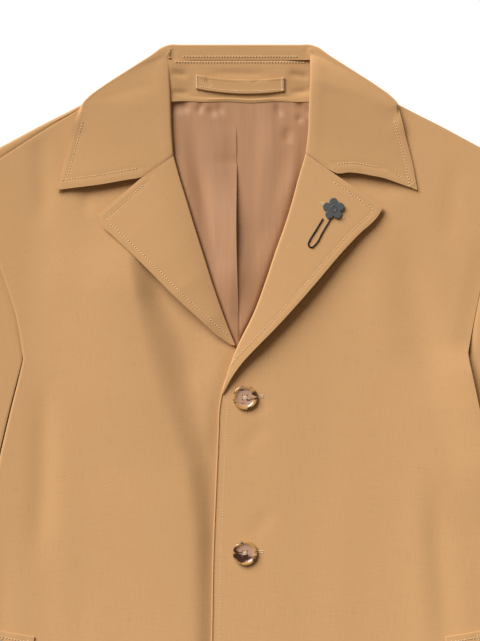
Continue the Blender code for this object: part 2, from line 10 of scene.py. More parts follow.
import bmesh
import bpy
from bpy.props import FloatProperty, FloatVectorProperty, PointerProperty
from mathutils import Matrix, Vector
from mathutils.bvhtree import BVHTree


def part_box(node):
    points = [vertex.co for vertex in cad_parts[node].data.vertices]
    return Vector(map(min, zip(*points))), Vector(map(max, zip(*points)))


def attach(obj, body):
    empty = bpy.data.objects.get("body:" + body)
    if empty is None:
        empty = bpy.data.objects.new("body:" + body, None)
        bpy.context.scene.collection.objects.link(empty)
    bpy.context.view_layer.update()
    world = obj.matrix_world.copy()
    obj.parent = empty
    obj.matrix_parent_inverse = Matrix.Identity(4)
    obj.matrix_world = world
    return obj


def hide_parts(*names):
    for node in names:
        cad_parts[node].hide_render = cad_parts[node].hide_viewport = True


bl_info = {
    "name": "Camel shirt jacket",
    "version": (1, 0, 0),
    "blender": (4, 5, 0),
    "location": "View3D > Sidebar > Jacket",
    "description": "Cloth panels, stitches, buttons and stage of a shirt jacket laid flat",
    "category": "Object",
}

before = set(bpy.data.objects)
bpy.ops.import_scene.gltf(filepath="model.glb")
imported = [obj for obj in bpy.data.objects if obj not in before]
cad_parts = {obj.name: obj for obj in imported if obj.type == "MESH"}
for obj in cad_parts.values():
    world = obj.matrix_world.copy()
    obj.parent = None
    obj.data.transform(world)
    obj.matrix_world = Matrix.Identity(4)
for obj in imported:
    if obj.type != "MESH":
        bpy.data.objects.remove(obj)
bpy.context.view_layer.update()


def linear(colour):
    """An sRGB hex colour as linear red, green and blue."""
    parts = [int(colour[k:k + 2], 16) / 255 for k in (1, 3, 5)]
    return [part / 12.92 if part <= 0.04045 else ((part + 0.055) / 1.055) ** 2.4 for part in parts]


# ---- sizes and colours that a user would change ------------------------------------
def metres(name, description, default):
    return FloatProperty(name=name, description=description, default=default, min=0.0, precision=5,
                         unit="LENGTH", subtype="DISTANCE")


def tint(name, description, default):
    return FloatVectorProperty(name=name, description=description, default=linear(default), min=0.0, max=1.0,
                               size=3, subtype="COLOR")


class JacketSizes(bpy.types.PropertyGroup):
    cloth: metres("Cloth", "Wall of one layer of the camel cloth", 0.0016)
    collar_wall: metres("Collar", "Wall of the collar, two layers sewn together", 0.0022)
    lining_wall: metres("Lining", "Wall of the back's lining", 0.0010)
    mesh_step: metres("Mesh step", "Spacing of the cloth's points", 0.0042)
    stitch_pitch: metres("Stitch pitch", "Distance from one stitch to the next", 0.0031)
    stitch_width: metres("Stitch width", "Width of the sewing thread as it lies", 0.0009)
    edge_inset: metres("Edge inset", "Distance of the top stitching from a folded edge", 0.0076)
    puff: metres("Edge puff", "How far an edge swells between its fold and its stitching", 0.00020)
    groove: metres("Stitch groove", "How deep a row of stitches pulls into the cloth", 0.00026)


class JacketColours(bpy.types.PropertyGroup):
    camel: tint("Camel cloth", "Colour of the outer cloth", "#C59B6B")
    lining: tint("Lining", "Colour of the satin lining", "#AA7E5C")
    thread: tint("Thread", "Colour of the top stitching", "#E2C8A0")
    horn_pale: tint("Pale horn", "Golden rim of the buttons", "#B88B50")
    horn_middle: tint("Rosy horn", "Middle of the buttons", "#B38C76")
    horn_dark: tint("Dark horn", "Darkest streaks of the buttons", "#3C2014")
    slate: tint("Slate enamel", "Colour of the flower pin", "#4A4D50")
    wire: tint("Dark wire", "Colour of the pin's wire", "#2C2A29")
    floor: tint("Floor", "Colour of the surface that the jacket lies on", "#FAFAFA")


class StageSettings(bpy.types.PropertyGroup):
    lens: FloatProperty(name="Lens", description="Focal length in millimetres", default=85.0, min=20.0)
    view_height: metres("View height", "Height of the garment that the camera takes in", 0.6677)
    view_middle: FloatProperty(name="View middle", description="The camera's place up the garment",
                               default=0.1410, unit="LENGTH")
    key: FloatProperty(name="Key light", description="Strength of the soft light from the collar's side",
                       default=5.2)
    key_spread: FloatProperty(name="Key spread", description="Width of the key light, as seen from the cloth",
                              default=math.radians(42), subtype="ANGLE")
    fill: FloatProperty(name="Fill light", description="Strength of the light from all round", default=0.21)


def sizes():
    return bpy.context.scene.jacket_sizes


def colours():
    return bpy.context.scene.jacket_colours


# ---- the cut, as in the frame -------------------------------------------------------
LENGTH = 0.858          # collar fold to hem
HEM_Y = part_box("front_left")[0][1]
GAP = 0.0003            # clearance between pieces that touch
SEAM = 0.0001           # distance between the edges of two panels at a seam
RIM_DIP = 0.0007        # how far the wall of a rounded edge dips below its outer face
BACK_WALL = 0.0016
FRONT_TOP = 0.0068      # outer face of a front that lies on the back
EDGE_ROUND = 0.0040     # how far in from a folded edge the upper layer rounds off
GROOVE_WIDTH = 0.0013   # half of the width of the groove along a row of stitches
COLLAR_LIFT = 0.0025    # the back rises this far over the collar's fall
OVERLAP_LIFT = 0.0019   # the left front rises this far over the right one
COLLAR_INSIDE_DOWN = 0.0167     # where the collar meets the stand inside the neck
STAND_FOOT_DOWN = 0.0602
STAND_HALF = 0.0755
STAND_TOP = 0.0104
STAND_FALL = 0.0028     # how much lower its foot lies
STAND_TWIST = 0.0024    # how far its right end stands up and its left end is pressed down
BUTTON_DIAMETER = 0.0256
BUTTON_HEIGHT = 0.0034
BUTTON_NUMBERS = (1, 2, 3)
LOOP_LENGTH = 0.0925    # hanger loop inside the neck
LOOP_WIDTH = 0.0140
LOOP_DOWN = 0.0403
LOOP_SAG = 0.0040
LOOP_TILT = 0.0027      # its left end is sewn on this much lower
WELT_LENGTH = 0.170     # slanted pocket welts
WELT_WIDTH = 0.040
WELT_INSET = 0.006      # its stitching, in from its edges
WELT_CORNER = (0.214, 0.618)
WELT_SLANT = math.radians(9.5)

Half = namedtuple("Half", "name sign shoulder armhole side inner roll edge gorge sleeve_in sleeve_out")
RIGHT = Half(
    name="right", sign=-1,
    shoulder=[(0.0865, 0.0455), (0.150, 0.0765), (0.158, 0.0735), (0.1650, 0.0655), (0.2089, 0.0920),
              (0.2505, 0.1188), (0.2775, 0.1375)],
    armhole=[(0.284, 0.123), (0.264, 0.195), (0.2505, 0.234), (0.234, 0.285), (0.2265, 0.328)],
    side=[(0.2265, 0.328), (0.241, 0.385), (0.2530, 0.4375), (0.272, 0.560), (0.287, 0.700),
          (0.297, 0.858)],
    inner=[(0.0865, 0.0455), (0.081, 0.080), (0.0730, 0.116), (0.0590, 0.160), (0.0375, 0.221),
           (0.0155, 0.287), (0.0050, 0.316), (-0.012, 0.345), (-0.022, 0.400), (-0.022, 0.858)],
    roll=[(0.0690, 0.1162), (0.0623, 0.1406), (0.0565, 0.1594), (0.0477, 0.1885), (0.0375, 0.2208),
          (0.0273, 0.2531), (0.0155, 0.2865), (0.0048, 0.3140)],
    edge=[(0.1480, 0.1785), (0.1440, 0.1885), (0.1310, 0.2010), (0.1150, 0.2160), (0.0930, 0.2375),
          (0.0640, 0.2667), (0.0422, 0.2865), (0.0245, 0.3030), (0.0108, 0.3130)],
    gorge=[(0.0690, 0.1156), (0.1020, 0.1388), (0.1450, 0.1465), (0.1912, 0.1521)],
    sleeve_in=[(0.2270, 0.3290), (0.2415, 0.385), (0.2536, 0.4375), (0.2770, 0.560), (0.326, 0.758)],
    sleeve_out=[(0.2848, 0.1232), (0.360, 0.203), (0.414, 0.290), (0.443, 0.430), (0.470, 0.725)],
)
LEFT = Half(
    name="left", sign=1,
    shoulder=[(0.0865, 0.038), (0.150, 0.0700), (0.1595, 0.0668), (0.1645, 0.0618), (0.2089, 0.0841),
              (0.2505, 0.1065), (0.284, 0.123)],
    armhole=[(0.284, 0.123), (0.266, 0.195), (0.256, 0.234), (0.247, 0.275), (0.238, 0.321)],
    side=[(0.238, 0.321), (0.2495, 0.376), (0.262, 0.4375), (0.279, 0.560), (0.291, 0.700), (0.297, 0.858)],
    inner=[(0.0865, 0.038), (0.081, 0.080), (0.0730, 0.114), (0.0580, 0.160), (0.0385, 0.216),
           (0.0165, 0.278), (-0.0021, 0.3146), (-0.0130, 0.3452), (-0.0189, 0.3657), (-0.0214, 0.3825),
           (-0.0221, 0.402), (-0.0243, 0.454), (-0.0276, 0.5375), (-0.0290, 0.622), (-0.0322, 0.740),
           (-0.0340, 0.858)],
    roll=[(0.0685, 0.1140), (0.0605, 0.1406), (0.0547, 0.1625), (0.0474, 0.1865), (0.0370, 0.2156),
          (0.0266, 0.2469), (0.0151, 0.2781), (-0.0028, 0.3150), (-0.0140, 0.3452), (-0.0188, 0.3640)],
    edge=[(0.1490, 0.1700), (0.1430, 0.1800), (0.1240, 0.1980), (0.1060, 0.2170), (0.0817, 0.2456),
          (0.0598, 0.2708), (0.0378, 0.2948), (0.0160, 0.3170), (0.0038, 0.3300), (-0.0105, 0.3505),
          (-0.0170, 0.3645)],
    gorge=[(0.0685, 0.1134), (0.0984, 0.1353), (0.1170, 0.1335), (0.1500, 0.1396), (0.1850, 0.1520)],
    sleeve_in=[(0.2386, 0.3220), (0.2500, 0.376), (0.2626, 0.4375), (0.2840, 0.560), (0.326, 0.758)],
    sleeve_out=[(0.2848, 0.1232), (0.360, 0.203), (0.414, 0.290), (0.443, 0.430), (0.470, 0.725)],
)
HALVES = (RIGHT, LEFT)

# One row for each section of half the collar, from the gorge to the middle of the back. A section
# with a turn goes over the shoulder or the neck, round by the sweep, and its edge lies under the
# back; one with a seam shows the collar's inside down to that place.
CollarRow = namedtuple("CollarRow", "fold fold_height turn sweep edge spread seam")
COLLAR_ROWS = [
    CollarRow((0.0705, 0.0950), 0.0128, None, 0, (0.1805, 0.1270), 0.035, None),
    CollarRow((0.0715, 0.0700), 0.0131, None, 0, (0.1735, 0.1000), 0.025, None),
    CollarRow((0.0722, 0.0480), 0.0134, None, 0, (0.1672, 0.0745), 0.006, None),
    CollarRow((0.0726, 0.0390), 0.0135, (0.1638, 0.0610), 100, None, 0.0, None),
    CollarRow((0.0728, 0.0300), 0.0135, (0.1580, 0.0545), 180, (0.1540, 0.0720), 0.0, None),
    CollarRow((0.0728, 0.0210), 0.0133, (0.1443, 0.0442), 180, (0.1400, 0.0760), 0.0, None),
    CollarRow((0.0728, 0.0150), 0.0130, (0.1193, 0.0280), 180, (0.1150, 0.0780), 0.0, None),
    CollarRow((0.0727, 0.0100), 0.0128, (0.0943, 0.0121), 180, (0.0900, 0.0785), 0.0, (0.0738, 0.0167)),
    CollarRow((0.0722, 0.0055), 0.0126, (0.0780, 0.0014), 180, (0.0720, 0.0780), 0.0, (0.0724, 0.0167)),
    CollarRow((0.0706, 0.0056), 0.0119, (0.0710, -0.0002), 180, (0.0640, 0.0775), 0.0, (0.0708, 0.0167)),
    CollarRow((0.0640, 0.0062), 0.0118, (0.0645, 0.0000), 180, (0.0560, 0.0772), 0.0, (0.0640, 0.0167)),
    CollarRow((0.0525, 0.0064), 0.0118, (0.0530, 0.0000), 180, (0.0450, 0.0770), 0.0, (0.0518, 0.0167)),
    CollarRow((0.0260, 0.0066), 0.0117, (0.0260, 0.0000), 180, (0.0220, 0.0760), 0.0, (0.0258, 0.0167)),
]
COLLAR_MIDDLE = CollarRow((0.0, 0.0066), 0.0117, (0.0, 0.0000), 180, (0.0, 0.0755), 0.0, (0.0, 0.0167))
# How much further out a leaf's free edge lies than the sections say, from the gorge on.
LEAF_REACH = {"right": (0.0038, 0.0033, 0.0026), "left": (0.0, 0.0, 0.0)}
COLLAR_FRONT_HEIGHT = 0.0126
COLLAR_FRONT_SPREAD = 0.040

# Soft folds: a trough has a negative height. "bow" pushes the fold's middle sideways.
Fold = namedtuple("Fold", "start end bow width height")
FRONT_FOLDS = {
    "right": [
        Fold((-0.098, 0.130), (-0.180, 0.156), 0.000, 0.0130, -0.0024),
        Fold((-0.206, 0.330), (-0.214, 0.560), 0.004, 0.0120, -0.0024),
        Fold((-0.183, 0.360), (-0.190, 0.760), 0.004, 0.0160, 0.0008),
        Fold((-0.212, 0.080), (-0.206, 0.200), 0.003, 0.0110, -0.0018),
        Fold((-0.190, 0.130), (-0.186, 0.290), 0.003, 0.0180, 0.0010),
        Fold((-0.050, 0.330), (-0.034, 0.430), 0.003, 0.0110, 0.0016),
        Fold((-0.150, 0.560), (-0.140, 0.830), -0.006, 0.0200, 0.0012),
        Fold((-0.248, 0.480), (-0.262, 0.780), 0.003, 0.0120, -0.0014),
        Fold((-0.164, 0.148), (-0.158, 0.180), 0.000, 0.0060, -0.0012),
        Fold((-0.030, 0.303), (-0.004, 0.319), 0.000, 0.0024, -0.0008),
    ],
    "left": [
        Fold((0.168, 0.180), (0.210, 0.385), -0.004, 0.0190, -0.0024),
        Fold((0.098, 0.126), (0.176, 0.152), 0.000, 0.0130, -0.0024),
        Fold((0.140, 0.230), (0.162, 0.340), -0.004, 0.0170, 0.0012),
        Fold((0.202, 0.440), (0.222, 0.660), -0.003, 0.0120, -0.0018),
        Fold((0.186, 0.420), (0.200, 0.700), -0.003, 0.0150, 0.0010),
        Fold((0.012, 0.388), (0.034, 0.368), 0.002, 0.0070, -0.0008),
        Fold((0.000, 0.432), (0.034, 0.392), 0.004, 0.0080, -0.0008),
        Fold((0.008, 0.520), (0.040, 0.482), 0.003, 0.0080, -0.0008),
        Fold((0.008, 0.684), (0.040, 0.642), 0.003, 0.0080, -0.0010),
        Fold((0.100, 0.420), (0.086, 0.720), 0.006, 0.0260, 0.0010),
        Fold((0.226, 0.110), (0.214, 0.220), 0.002, 0.0120, -0.0010),
        Fold((0.252, 0.500), (0.268, 0.800), -0.003, 0.0120, -0.0012),
    ],
}
SWELL = 0.0125          # how high the right front swells between its side and the opening
SWELL_SIDE = -0.225     # the swell starts here
# Where it starts to fall away towards the opening, and over what width.
SWELL_FALL = [(-0.118, 0.190), (-0.116, 0.232), (-0.111, 0.267), (-0.104, 0.301), (-0.085, 0.371),
              (-0.058, 0.441), (-0.050, 0.509), (-0.050, 0.858)]
SWELL_REACH = [(0.024, 0.190), (0.026, 0.232), (0.033, 0.267), (0.044, 0.301), (0.045, 0.371), (0.028, 0.441),
               (0.024, 0.509), (0.024, 0.858)]
HOLLOW = 0.0020         # how far the front sinks beside the lapel, where the swell has fallen away
SLEEVE_FOLDS = [
    Fold((0.262, 0.300), (0.330, 0.262), 0.006, 0.0100, -0.0018),
    Fold((0.266, 0.345), (0.352, 0.322), 0.008, 0.0110, -0.0016),
    Fold((0.292, 0.430), (0.372, 0.396), -0.006, 0.0110, -0.0020),
    Fold((0.300, 0.470), (0.396, 0.476), -0.008, 0.0130, -0.0018),
    Fold((0.322, 0.560), (0.424, 0.520), 0.006, 0.0120, -0.0014),
    Fold((0.345, 0.300), (0.400, 0.500), 0.006, 0.0180, 0.0014),
    Fold((0.352, 0.620), (0.398, 0.740), 0.004, 0.0140, -0.0012),
]
LINING_FOLDS = [
    Fold((-0.030, 0.060), (-0.014, 0.230), 0.002, 0.0140, 0.0016),
    Fold((-0.056, 0.070), (-0.014, 0.290), 0.001, 0.0090, -0.0022),
    Fold((0.038, 0.060), (0.034, 0.215), -0.002, 0.0140, 0.0018),
    Fold((0.074, 0.070), (0.052, 0.250), 0.002, 0.0120, -0.0028),
    Fold((0.050, 0.085), (0.0485, 0.105), 0.000, 0.0045, -0.0014),
    Fold((0.062, 0.090), (0.050, 0.180), 0.000, 0.0070, 0.0014),
    Fold((-0.077, 0.0660), (-0.050, 0.0660), 0.001, 0.0045, -0.0022),
    Fold((-0.0395, 0.0590), (-0.0445, 0.0730), 0.000, 0.0028, -0.0018),
    Fold((-0.0345, 0.0650), (-0.0255, 0.0750), 0.000, 0.0036, -0.0015),
    Fold((-0.0240, 0.0610), (-0.0185, 0.0735), 0.000, 0.0030, -0.0015),
    Fold((0.0370, 0.0610), (0.0430, 0.0760), 0.000, 0.0026, -0.0020),
    Fold((0.0580, 0.0755), (0.0650, 0.0795), 0.000, 0.0030, -0.0020),
    Fold((0.0570, 0.0590), (0.0760, 0.0760), 0.000, 0.0034, -0.0026),
]
STAND_FOLDS = [
    Fold((-0.076, 0.0578), (0.076, 0.0578), 0.0006, 0.0014, 0.0012),
    Fold((-0.062, 0.0545), (0.066, 0.0542), -0.0010, 0.0015, -0.0008),
    Fold((-0.040, 0.0300), (0.036, 0.0312), 0.0, 0.0040, -0.0010),
    Fold((-0.078, 0.0290), (-0.052, 0.0330), 0.0, 0.0034, -0.0014),
    Fold((-0.078, 0.0500), (-0.050, 0.0515), 0.0, 0.0030, -0.0012),
    Fold((0.048, 0.0300), (0.078, 0.0350), 0.0, 0.0036, -0.0014),
    Fold((0.050, 0.0510), (0.078, 0.0480), 0.0, 0.0030, -0.0012),
]


# ---- places, curves and heights -----------------------------------------------------
def spot(x, down, z=0.0):
    """The point at x, so far down from the collar's fold, at height z."""
    return Vector((x, HEM_Y + LENGTH - down, z))


def spots(table, sign=1):
    """The points at a table of (x, down) places, on the side that the sign gives."""
    return [spot(sign * x, down) for x, down in table]


def middle_of(node):
    """The middle of a CAD node's box."""
    low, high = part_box(node)
    return [(a + b) / 2 for a, b in zip(low, high)]


def down_of(point):
    return HEM_Y + LENGTH - point.y


def lift(place, height):
    return Vector((place.x, place.y, height))


def ease(value, start, end):
    """0 at start, 1 at end, with soft shoulders."""
    share = min(1.0, max(0.0, (value - start) / (end - start)))
    return share * share * (3 - 2 * share)


def even(count):
    return [i / (count - 1) for i in range(count)]


def soften(places, steps=8):
    """A smooth curve through places that may be unevenly spaced."""
    spans = [max((b - a).length, 1e-6) for a, b in zip(places, places[1:])]
    slopes = [(b - a) / span for a, b, span in zip(places, places[1:], spans)]
    tangents = [slopes[0]]
    for before, after, slope, following in zip(spans, spans[1:], slopes, slopes[1:]):
        tangents.append((slope * after + following * before) / (before + after))
    tangents.append(slopes[-1])
    curve = [places[0].copy()]
    for k, span in enumerate(spans):
        for step in range(1, steps + 1):
            t = step / steps
            ahead = t * t * (3 - 2 * t)
            curve.append(places[k] * (1 - ahead) + places[k + 1] * ahead
                         + tangents[k] * (span * t * (1 - t) ** 2)
                         - tangents[k + 1] * (span * t * t * (1 - t)))
    return curve


def lengths_of(points):
    marks = [0.0]
    for a, b in zip(points, points[1:]):
        marks.append(marks[-1] + (b - a).length)
    return marks


def shares_of(points):
    marks = lengths_of(points)
    return [mark / marks[-1] for mark in marks]


def along(places, shares):
    """Points at shares of a polyline's length."""
    marks = lengths_of(places)
    points = []
    span = 0
    for share in shares:
        target = share * marks[-1]
        while span < len(places) - 2 and marks[span + 1] < target:
            span += 1
        part = (target - marks[span]) / max(marks[span + 1] - marks[span], 1e-9)
        points.append(places[span].lerp(places[span + 1], min(1.0, max(0.0, part))))
    return points


def outline(table, sign, shares, soft=True):
    """Points at the given shares of the length of a table of (x, down) places."""
    places = spots(table, sign)
    if soft and len(places) > 2:
        places = soften(places)
    return along(places, shares)


def across_at(table, down):
    """How far out a table of (x, down) places lies, so far down."""
    for (x, start), (following, end) in zip(table, table[1:]):
        if start <= down <= end:
            return x + (following - x) * (down - start) / (end - start)
    return table[0][0] if down < table[0][1] else table[-1][0]


def patch(head, foot, inner, outer, across, downs):
    """A Coons patch: rows run from the inner edge to the outer one."""
    rows = []
    for i, v in enumerate(downs):
        row = []
        for j, u in enumerate(across):
            between_ends = head[j].lerp(foot[j], v)
            between_sides = inner[i].lerp(outer[i], u)
            corners = head[0].lerp(head[-1], u).lerp(foot[0].lerp(foot[-1], u), v)
            row.append(between_ends + between_sides - corners)
        rows.append(row)
    return rows


# Distances from a rim at which a row always has points, for the rounding and the stitching there.
RIM_MARKS = (0.0005, 0.0014, 0.0027, 0.0042, 0.0056, 0.0067, 0.0076, 0.0085, 0.0100)


def close_at_rims(row, count, at_start=True, at_end=True):
    """A row with the same ends, and with points at fixed distances from its rims."""
    whole = lengths_of(row)[-1]
    start = [0.0, *[mark / whole for mark in RIM_MARKS]] if at_start else [0.0]
    end = [1 - mark / whole for mark in reversed(RIM_MARKS)] + [1.0] if at_end else [1.0]
    inside = [start[-1] + (end[0] - start[-1]) * k / (count + 1) for k in range(1, count + 1)]
    return along(row, start + inside + end)


def rounded(distance):
    """Share of the full height at a distance from an edge that rounds off."""
    short = 1 - min(1.0, distance / EDGE_ROUND)
    return math.sqrt(max(0.0, 1 - short * short))


def ridge(off, height, width):
    """Height of a soft ridge, so far from its middle."""
    return height * math.exp(-(off / width) ** 2)


def relief(folds, x, down):
    """Height of the soft folds at a place."""
    height = 0.0
    for fold in folds:
        run_x, run_down = fold.end[0] - fold.start[0], fold.end[1] - fold.start[1]
        run = math.hypot(run_x, run_down)
        reach = fold.width * 3
        share = ((x - fold.start[0]) * run_x + (down - fold.start[1]) * run_down) / run ** 2
        if not 0 < share < 1:
            continue
        off = ((x - fold.start[0]) * run_down - (down - fold.start[1]) * run_x) / run
        off -= fold.bow * math.sin(math.pi * share)
        if abs(off) > reach:
            continue
        fade = ease(share, 0.0, 0.35) * ease(1 - share, 0.0, 0.35)
        height += ridge(off, fold.height * fade, fold.width)
    return height


def sewn_edge(distance):
    """An edge swells between its fold and its stitching, which pulls in."""
    inset = sizes().edge_inset
    swell = math.sin(math.pi * min(1.0, distance / inset)) * sizes().puff
    return swell - ridge(distance - inset, sizes().groove, GROOVE_WIDTH)


def distance_to(line, place):
    """Distance in plan from a place to a polyline."""
    best = 1.0
    for a, b in zip(line, line[1:]):
        run_x, run_y = b.x - a.x, b.y - a.y
        whole = run_x * run_x + run_y * run_y
        share = ((place.x - a.x) * run_x + (place.y - a.y) * run_y) / max(whole, 1e-12)
        share = min(1.0, max(0.0, share))
        off = math.hypot(place.x - a.x - run_x * share, place.y - a.y - run_y * share)
        best = min(best, off)
    return best


def back_under(x, down):
    """Under face of the back, which rises over the fall of the collar."""
    return COLLAR_LIFT * (1 - ease(down, 0.091, 0.112)) * (1 - ease(abs(x), 0.166, 0.182))


def front_face(half, x, down):
    """Outer face of a front, which rises where the left front overlaps the right."""
    rise = OVERLAP_LIFT * (1 - ease(x, 0.030, 0.100)) * ease(down, 0.180, 0.260)
    return FRONT_TOP + (rise if half is LEFT else 0.0)


def bunched(down):
    """Share of the bunching below the left armhole, so far down."""
    return ease(down, 0.308, 0.345) * (1 - ease(down, 0.430, 0.520))


def rim_height(x, down):
    """Where an upper layer's folded edge stands on the back."""
    return back_under(x, down) + BACK_WALL + GAP + RIM_DIP


def stand_face(down):
    """Outer face of the band inside the neck, which slopes towards its foot."""
    return STAND_TOP - STAND_FALL * ease(down, COLLAR_INSIDE_DOWN, STAND_FOOT_DOWN)


# ---- making and finishing pieces ----------------------------------------------------
def add_piece(name, mesh, material):
    """An object for a mesh, which stays with the jacket's one body."""
    piece = bpy.data.objects.new(name, mesh)
    bpy.context.collection.objects.link(piece)
    mesh.materials.append(material)
    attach(piece, "root")
    return piece


def mesh_of(name, shape):
    """A smooth-shaded mesh from a worked shape, which is then done with."""
    mesh = bpy.data.meshes.new(name)
    shape.to_mesh(mesh)
    shape.free()
    mesh.shade_smooth()
    return mesh


def skin(shape, rings):
    """Faces round a row of rings of points, closed at both ends."""
    for ring, following in zip(rings, rings[1:]):
        for k in range(len(ring)):
            shape.faces.new((ring[k], ring[k - 1], following[k - 1], following[k]))
    shape.faces.new(rings[0])
    shape.faces.new(list(reversed(rings[-1])))


def grid_mesh(name, grids):
    """A mesh from grids of points that share their borders, with a UV map in metres."""
    shape = bmesh.new()
    weave = shape.loops.layers.uv.new("weave")
    for rows in grids:
        across = [lengths_of(row) for row in rows]
        downs = lengths_of([row[len(row) // 2] for row in rows])
        rings = [[shape.verts.new(point) for point in row] for row in rows]
        for i, (ring, following) in enumerate(zip(rings, rings[1:])):
            for j in range(len(ring) - 1):
                face = shape.faces.new((ring[j], ring[j + 1], following[j + 1], following[j]))
                corners = ((i, j), (i, j + 1), (i + 1, j + 1), (i + 1, j))
                for loop, (row, column) in zip(face.loops, corners):
                    middle = across[row][len(across[row]) // 2]
                    loop[weave].uv = (across[row][column] - middle, -downs[row])
    bmesh.ops.remove_doubles(shape, verts=shape.verts, dist=0.00002)
    bmesh.ops.recalc_face_normals(shape, faces=shape.faces)
    highest = max(shape.faces, key=lambda face: face.calc_center_median().z)
    if highest.normal.z < 0:
        bmesh.ops.reverse_faces(shape, faces=shape.faces)
    return mesh_of(name, shape)


def thicken(piece, wall, grow=-1.0, even_wall=True):
    """A wall for a sheet, with its rim rounded as a folded edge is."""
    thick = piece.modifiers.new("wall", "SOLIDIFY")
    thick.thickness = wall
    thick.offset = grow
    thick.use_even_offset = even_wall
    rim = piece.modifiers.new("rim", "BEVEL")
    rim.width = wall * 0.35
    rim.segments = 2
    rim.limit_method = "ANGLE"
    rim.angle_limit = math.radians(60)
    rim.harden_normals = True
    return piece


def cloth_piece(node, *grids, grow=-1.0, even_wall=True, lining=False):
    """A sheet that stands for a CAD node, of camel cloth unless it is lining."""
    wall = sizes().lining_wall if lining else sizes().cloth
    material, slot = (satin_lining, "tan_lining") if lining else (camel_wool, "camel_cloth")
    piece = add_piece(f"{node}_cloth", grid_mesh(node, grids), finish(material))
    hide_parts(node)
    return thicken(piece, wall, grow, even_wall)


def cloth(node):
    """The cloth that stands for a CAD node."""
    return bpy.data.objects[f"{node}_cloth"]


def surface_of(pieces):
    """A search tree over the shown faces of pieces, with their modifiers."""
    graph = bpy.context.evaluated_depsgraph_get()
    points, faces = [], []
    for piece in pieces:
        shown = piece.evaluated_get(graph).to_mesh()
        start = len(points)
        points.extend(vertex.co.copy() for vertex in shown.vertices)
        faces.extend([start + index for index in face.vertices] for face in shown.polygons)
        piece.evaluated_get(graph).to_mesh_clear()
    return BVHTree.FromPolygons(points, faces)


def drop(tree, place, height=0.05):
    """Where a place meets the top of a surface, and the way that it faces there."""
    hit, normal, _, _ = tree.ray_cast(lift(place, height), Vector((0, 0, -1)))
    return hit, normal


# ---- materials ----------------------------------------------------------------------
def add_node(tree, kind, settings=None, links=None):
    """A node with its settings, by property or socket name, and what its sockets take."""
    made = tree.nodes.new(kind)
    for name, value in (settings or {}).items():
        if isinstance(name, str) and hasattr(made, name):
            setattr(made, name, value)
        else:
            made.inputs[name].default_value = value
    for name, source in (links or {}).items():
        tree.links.new(source, made.inputs[name])
    return made


def new_material(name, settings):
    """A material, its nodes and its shader, with values on the shader's own sockets."""
    material = bpy.data.materials.new(name)
    material.use_nodes = True
    shader = material.node_tree.nodes["Principled BSDF"]
    for socket, value in settings.items():
        shader.inputs[socket].default_value = value
    return material, material.node_tree, shader


def shade(colour, factor):
    """A colour made darker or paler."""
    return (*[min(1.0, part * factor) for part in colour], 1.0)


WAVE_PERIOD = 0.314         # metres from band to band of a wave texture at scale 1


def camel_wool():
    """Wool blend in a plain weave: matt, with a faint crosshatch of uneven threads."""
    material, tree, shader = new_material("camel_wool_plain_weave", {
        "Roughness": 0.86, "Specular IOR Level": 0.22, "Sheen Weight": 0.10, "Sheen Roughness": 0.45,
        "Diffuse Roughness": 0.55})
    weave = add_node(tree, "ShaderNodeUVMap", {"uv_map": "weave"}).outputs["UV"]
    # The real threads are 0.5 mm apart; they are drawn 1.3 mm apart so that they show.
    bands = WAVE_PERIOD / 0.0013
    warp = add_node(tree, "ShaderNodeTexWave", {"bands_direction": "X", "Scale": bands}, {"Vector": weave})
    weft = add_node(tree, "ShaderNodeTexWave", {"bands_direction": "Y", "Scale": bands}, {"Vector": weave})
    threads = add_node(tree, "ShaderNodeMath", {"operation": "MULTIPLY"},
                       {0: warp.outputs["Fac"], 1: weft.outputs["Fac"]})
    # Slubs are thick stretches of thread, about 1 mm wide and 20 to 30 mm long.
    slubs = []
    for stretch in ((850, 42, 1), (38, 800, 1)):
        turned = add_node(tree, "ShaderNodeMapping", {"Scale": stretch}, {"Vector": weave})
        slubs.append(add_node(tree, "ShaderNodeTexNoise", {"Scale": 1.0, "Detail": 2.0, "Roughness": 0.6},
                              {"Vector": turned.outputs["Vector"]}))
    crossed = add_node(tree, "ShaderNodeMath", {"operation": "ADD"},
                       {0: slubs[0].outputs["Fac"], 1: slubs[1].outputs["Fac"]})
    cloud = add_node(tree, "ShaderNodeTexNoise", {"Scale": 14.0, "Detail": 2.0, "Roughness": 0.5},
                     {"Vector": weave})
    # The dye takes a little unevenly, in patches some 70 mm across.
    tone = add_node(tree, "ShaderNodeMath", {"operation": "MULTIPLY_ADD", 1: 0.16},
                    {0: cloud.outputs["Fac"], 2: crossed.outputs["Value"]})
    camel = colours().camel
    ramp = add_node(tree, "ShaderNodeValToRGB", links={"Fac": tone.outputs["Value"]})
    ramp.color_ramp.elements[0].position = 0.80
    ramp.color_ramp.elements[0].color = shade(camel, 0.95)
    ramp.color_ramp.elements[1].position = 1.0
    ramp.color_ramp.elements[1].color = shade(camel, 1.04)
    tree.links.new(ramp.outputs["Color"], shader.inputs["Base Color"])
    height = add_node(tree, "ShaderNodeMath", {"operation": "MULTIPLY_ADD", 1: 0.6},
                      {0: threads.outputs["Value"], 2: crossed.outputs["Value"]})
    bump = add_node(tree, "ShaderNodeBump", {"Strength": 0.28, "Distance": 0.00035},
                    {"Height": height.outputs["Value"]})
    tree.links.new(bump.outputs["Normal"], shader.inputs["Normal"])
    return material


